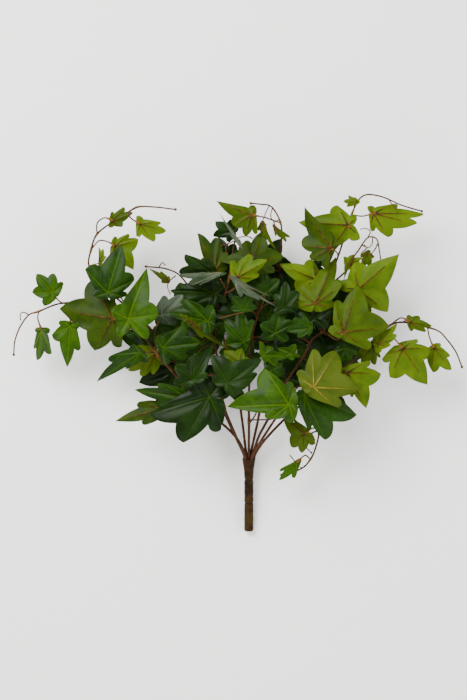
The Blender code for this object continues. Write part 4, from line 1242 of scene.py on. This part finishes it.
class IVY_OT_deep_leaves(bpy.types.Operator):
    """Make the whole leaves deeper in the bush"""
    bl_idname = "ivy.deep_leaves"
    bl_label = "Deep Leaves"

    def execute(self, context):
        for seed, (hub, bearing, reach) in enumerate(DEEP_LEAVES, start=200):
            tips = []
            for turn, share in DEEP_LOBES:
                angle = math.radians(bearing + turn)
                far = reach * share
                tips.append((hub[0] + far * math.cos(angle), hub[1] + far * math.sin(angle)))
            name = f"deep_leaf_{seed - 199:02d}"
            finish = "top_deep" if seed % 2 else "top_dark"
            make_leaf((name, hub, bearing + 180, (0.0, 0.1), 8, tips, "top"), finish, None, seed)
            make_free_stalk(name, hub)
        for row in LEAVES:
            if row[0].startswith("leaf_back"):
                make_free_stalk(row[0], row[1])
        return {"FINISHED"}


class IVY_OT_stage(bpy.types.Operator):
    """Make the pale floor, the soft lights and the camera"""
    bl_idname = "ivy.stage"
    bl_label = "Stage"

    def execute(self, context):
        make_floor()
        make_lights(context.scene.ivy_stage)
        make_camera(context.scene.ivy_stage)
        return {"FINISHED"}


# ---------------------------------------------------------------- the stage

VIEW_CENTRE = (-18.6, 219.6, 70.0)
VIEW_LENGTH = 0.840
SENSOR = 36.0


def make_floor():
    work = bmesh.new()
    bmesh.ops.create_grid(work, x_segments=4, y_segments=4, size=3.0)
    mesh = bpy.data.meshes.new("floor")
    work.to_mesh(mesh)
    work.free()
    mesh.materials.append(floor_material())
    floor = bpy.data.objects.new("floor", mesh)
    floor.location = (0.0, 0.0, -0.0004)
    bpy.context.scene.collection.objects.link(floor)


def add_area_light(name, power, size, place, colour):
    light = bpy.data.lights.new(name, "AREA")
    light.energy = power
    light.size = size
    light.color = colour
    lamp = bpy.data.objects.new(name, light)
    lamp.location = place
    lamp.rotation_euler = (-Vector(place)).to_track_quat("-Z", "Y").to_euler()
    bpy.context.scene.collection.objects.link(lamp)


def make_lights(settings):
    add_area_light("key_light", settings.key_power, 1.3, (-0.9, 1.0, 1.7), (1.0, 0.99, 0.97))
    add_area_light("fill_light_right", settings.fill_power, 1.2, (1.5, -0.2, 1.3), (0.97, 0.99, 1.0))
    add_area_light("fill_light_front", settings.fill_power, 1.2, (-0.3, -1.6, 1.3), (1.0, 1.0, 1.0))
    world = bpy.data.worlds.new("studio")
    world.use_nodes = True
    background = world.node_tree.nodes["Background"]
    background.inputs["Color"].default_value = (1.0, 0.99, 0.96, 1.0)
    background.inputs["Strength"].default_value = 0.95
    bpy.context.scene.world = world


def make_camera(settings):
    """Straight down, from far away, framed on the whole bush with room above and below it."""
    view = bpy.data.cameras.new("view_from_above")
    view.sensor_width = SENSOR
    view.lens = SENSOR * settings.view_distance / VIEW_LENGTH
    view.clip_end = 50.0
    camera = bpy.data.objects.new("view_from_above", view)
    camera.location = placed(VIEW_CENTRE) + Vector((0.0, 0.0, settings.view_distance))
    bpy.context.scene.collection.objects.link(camera)
    bpy.context.scene.camera = camera


# ---------------------------------------------------------------- panel and registration

class IVY_PT_panel(bpy.types.Panel):
    """Lists the bush's pieces in the 3D view's sidebar"""
    bl_idname = "IVY_PT_panel"
    bl_label = "Ivy Bush"
    bl_space_type = "VIEW_3D"
    bl_region_type = "UI"
    bl_category = "Ivy Bush"

    def draw(self, context):
        for operator in OPERATORS:
            self.layout.operator(operator.bl_idname)
        for name in SETTINGS:
            box = self.layout.box()
            settings = getattr(context.scene, name)
            for label in settings.bl_rna.properties.keys():
                if label not in ("rna_type", "name"):
                    box.prop(settings, label)


OPERATORS = (IVY_OT_stem, IVY_OT_vines, IVY_OT_tendrils, IVY_OT_leaves, IVY_OT_small_leaves,
             IVY_OT_deep_leaves, IVY_OT_stage)
SETTINGS = {"ivy_stem": IvyStemSettings, "ivy_vine": IvyVineSettings, "ivy_leaf": IvyLeafSettings,
            "ivy_stage": IvyStageSettings}


def register():
    for kind in (*SETTINGS.values(), *OPERATORS, IVY_PT_panel):
        bpy.utils.register_class(kind)
    for name, kind in SETTINGS.items():
        setattr(bpy.types.Scene, name, bpy.props.PointerProperty(type=kind))


def unregister():
    for name in SETTINGS:
        delattr(bpy.types.Scene, name)
    for kind in reversed((*SETTINGS.values(), *OPERATORS, IVY_PT_panel)):
        bpy.utils.unregister_class(kind)


def main():
    register()
    bpy.ops.ivy.stem()
    bpy.ops.ivy.vines()
    bpy.ops.ivy.tendrils()
    bpy.ops.ivy.leaves()
    bpy.ops.ivy.small_leaves()
    bpy.ops.ivy.deep_leaves()
    bpy.ops.ivy.stage()
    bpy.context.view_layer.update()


if __name__ == "__main__":
    main()
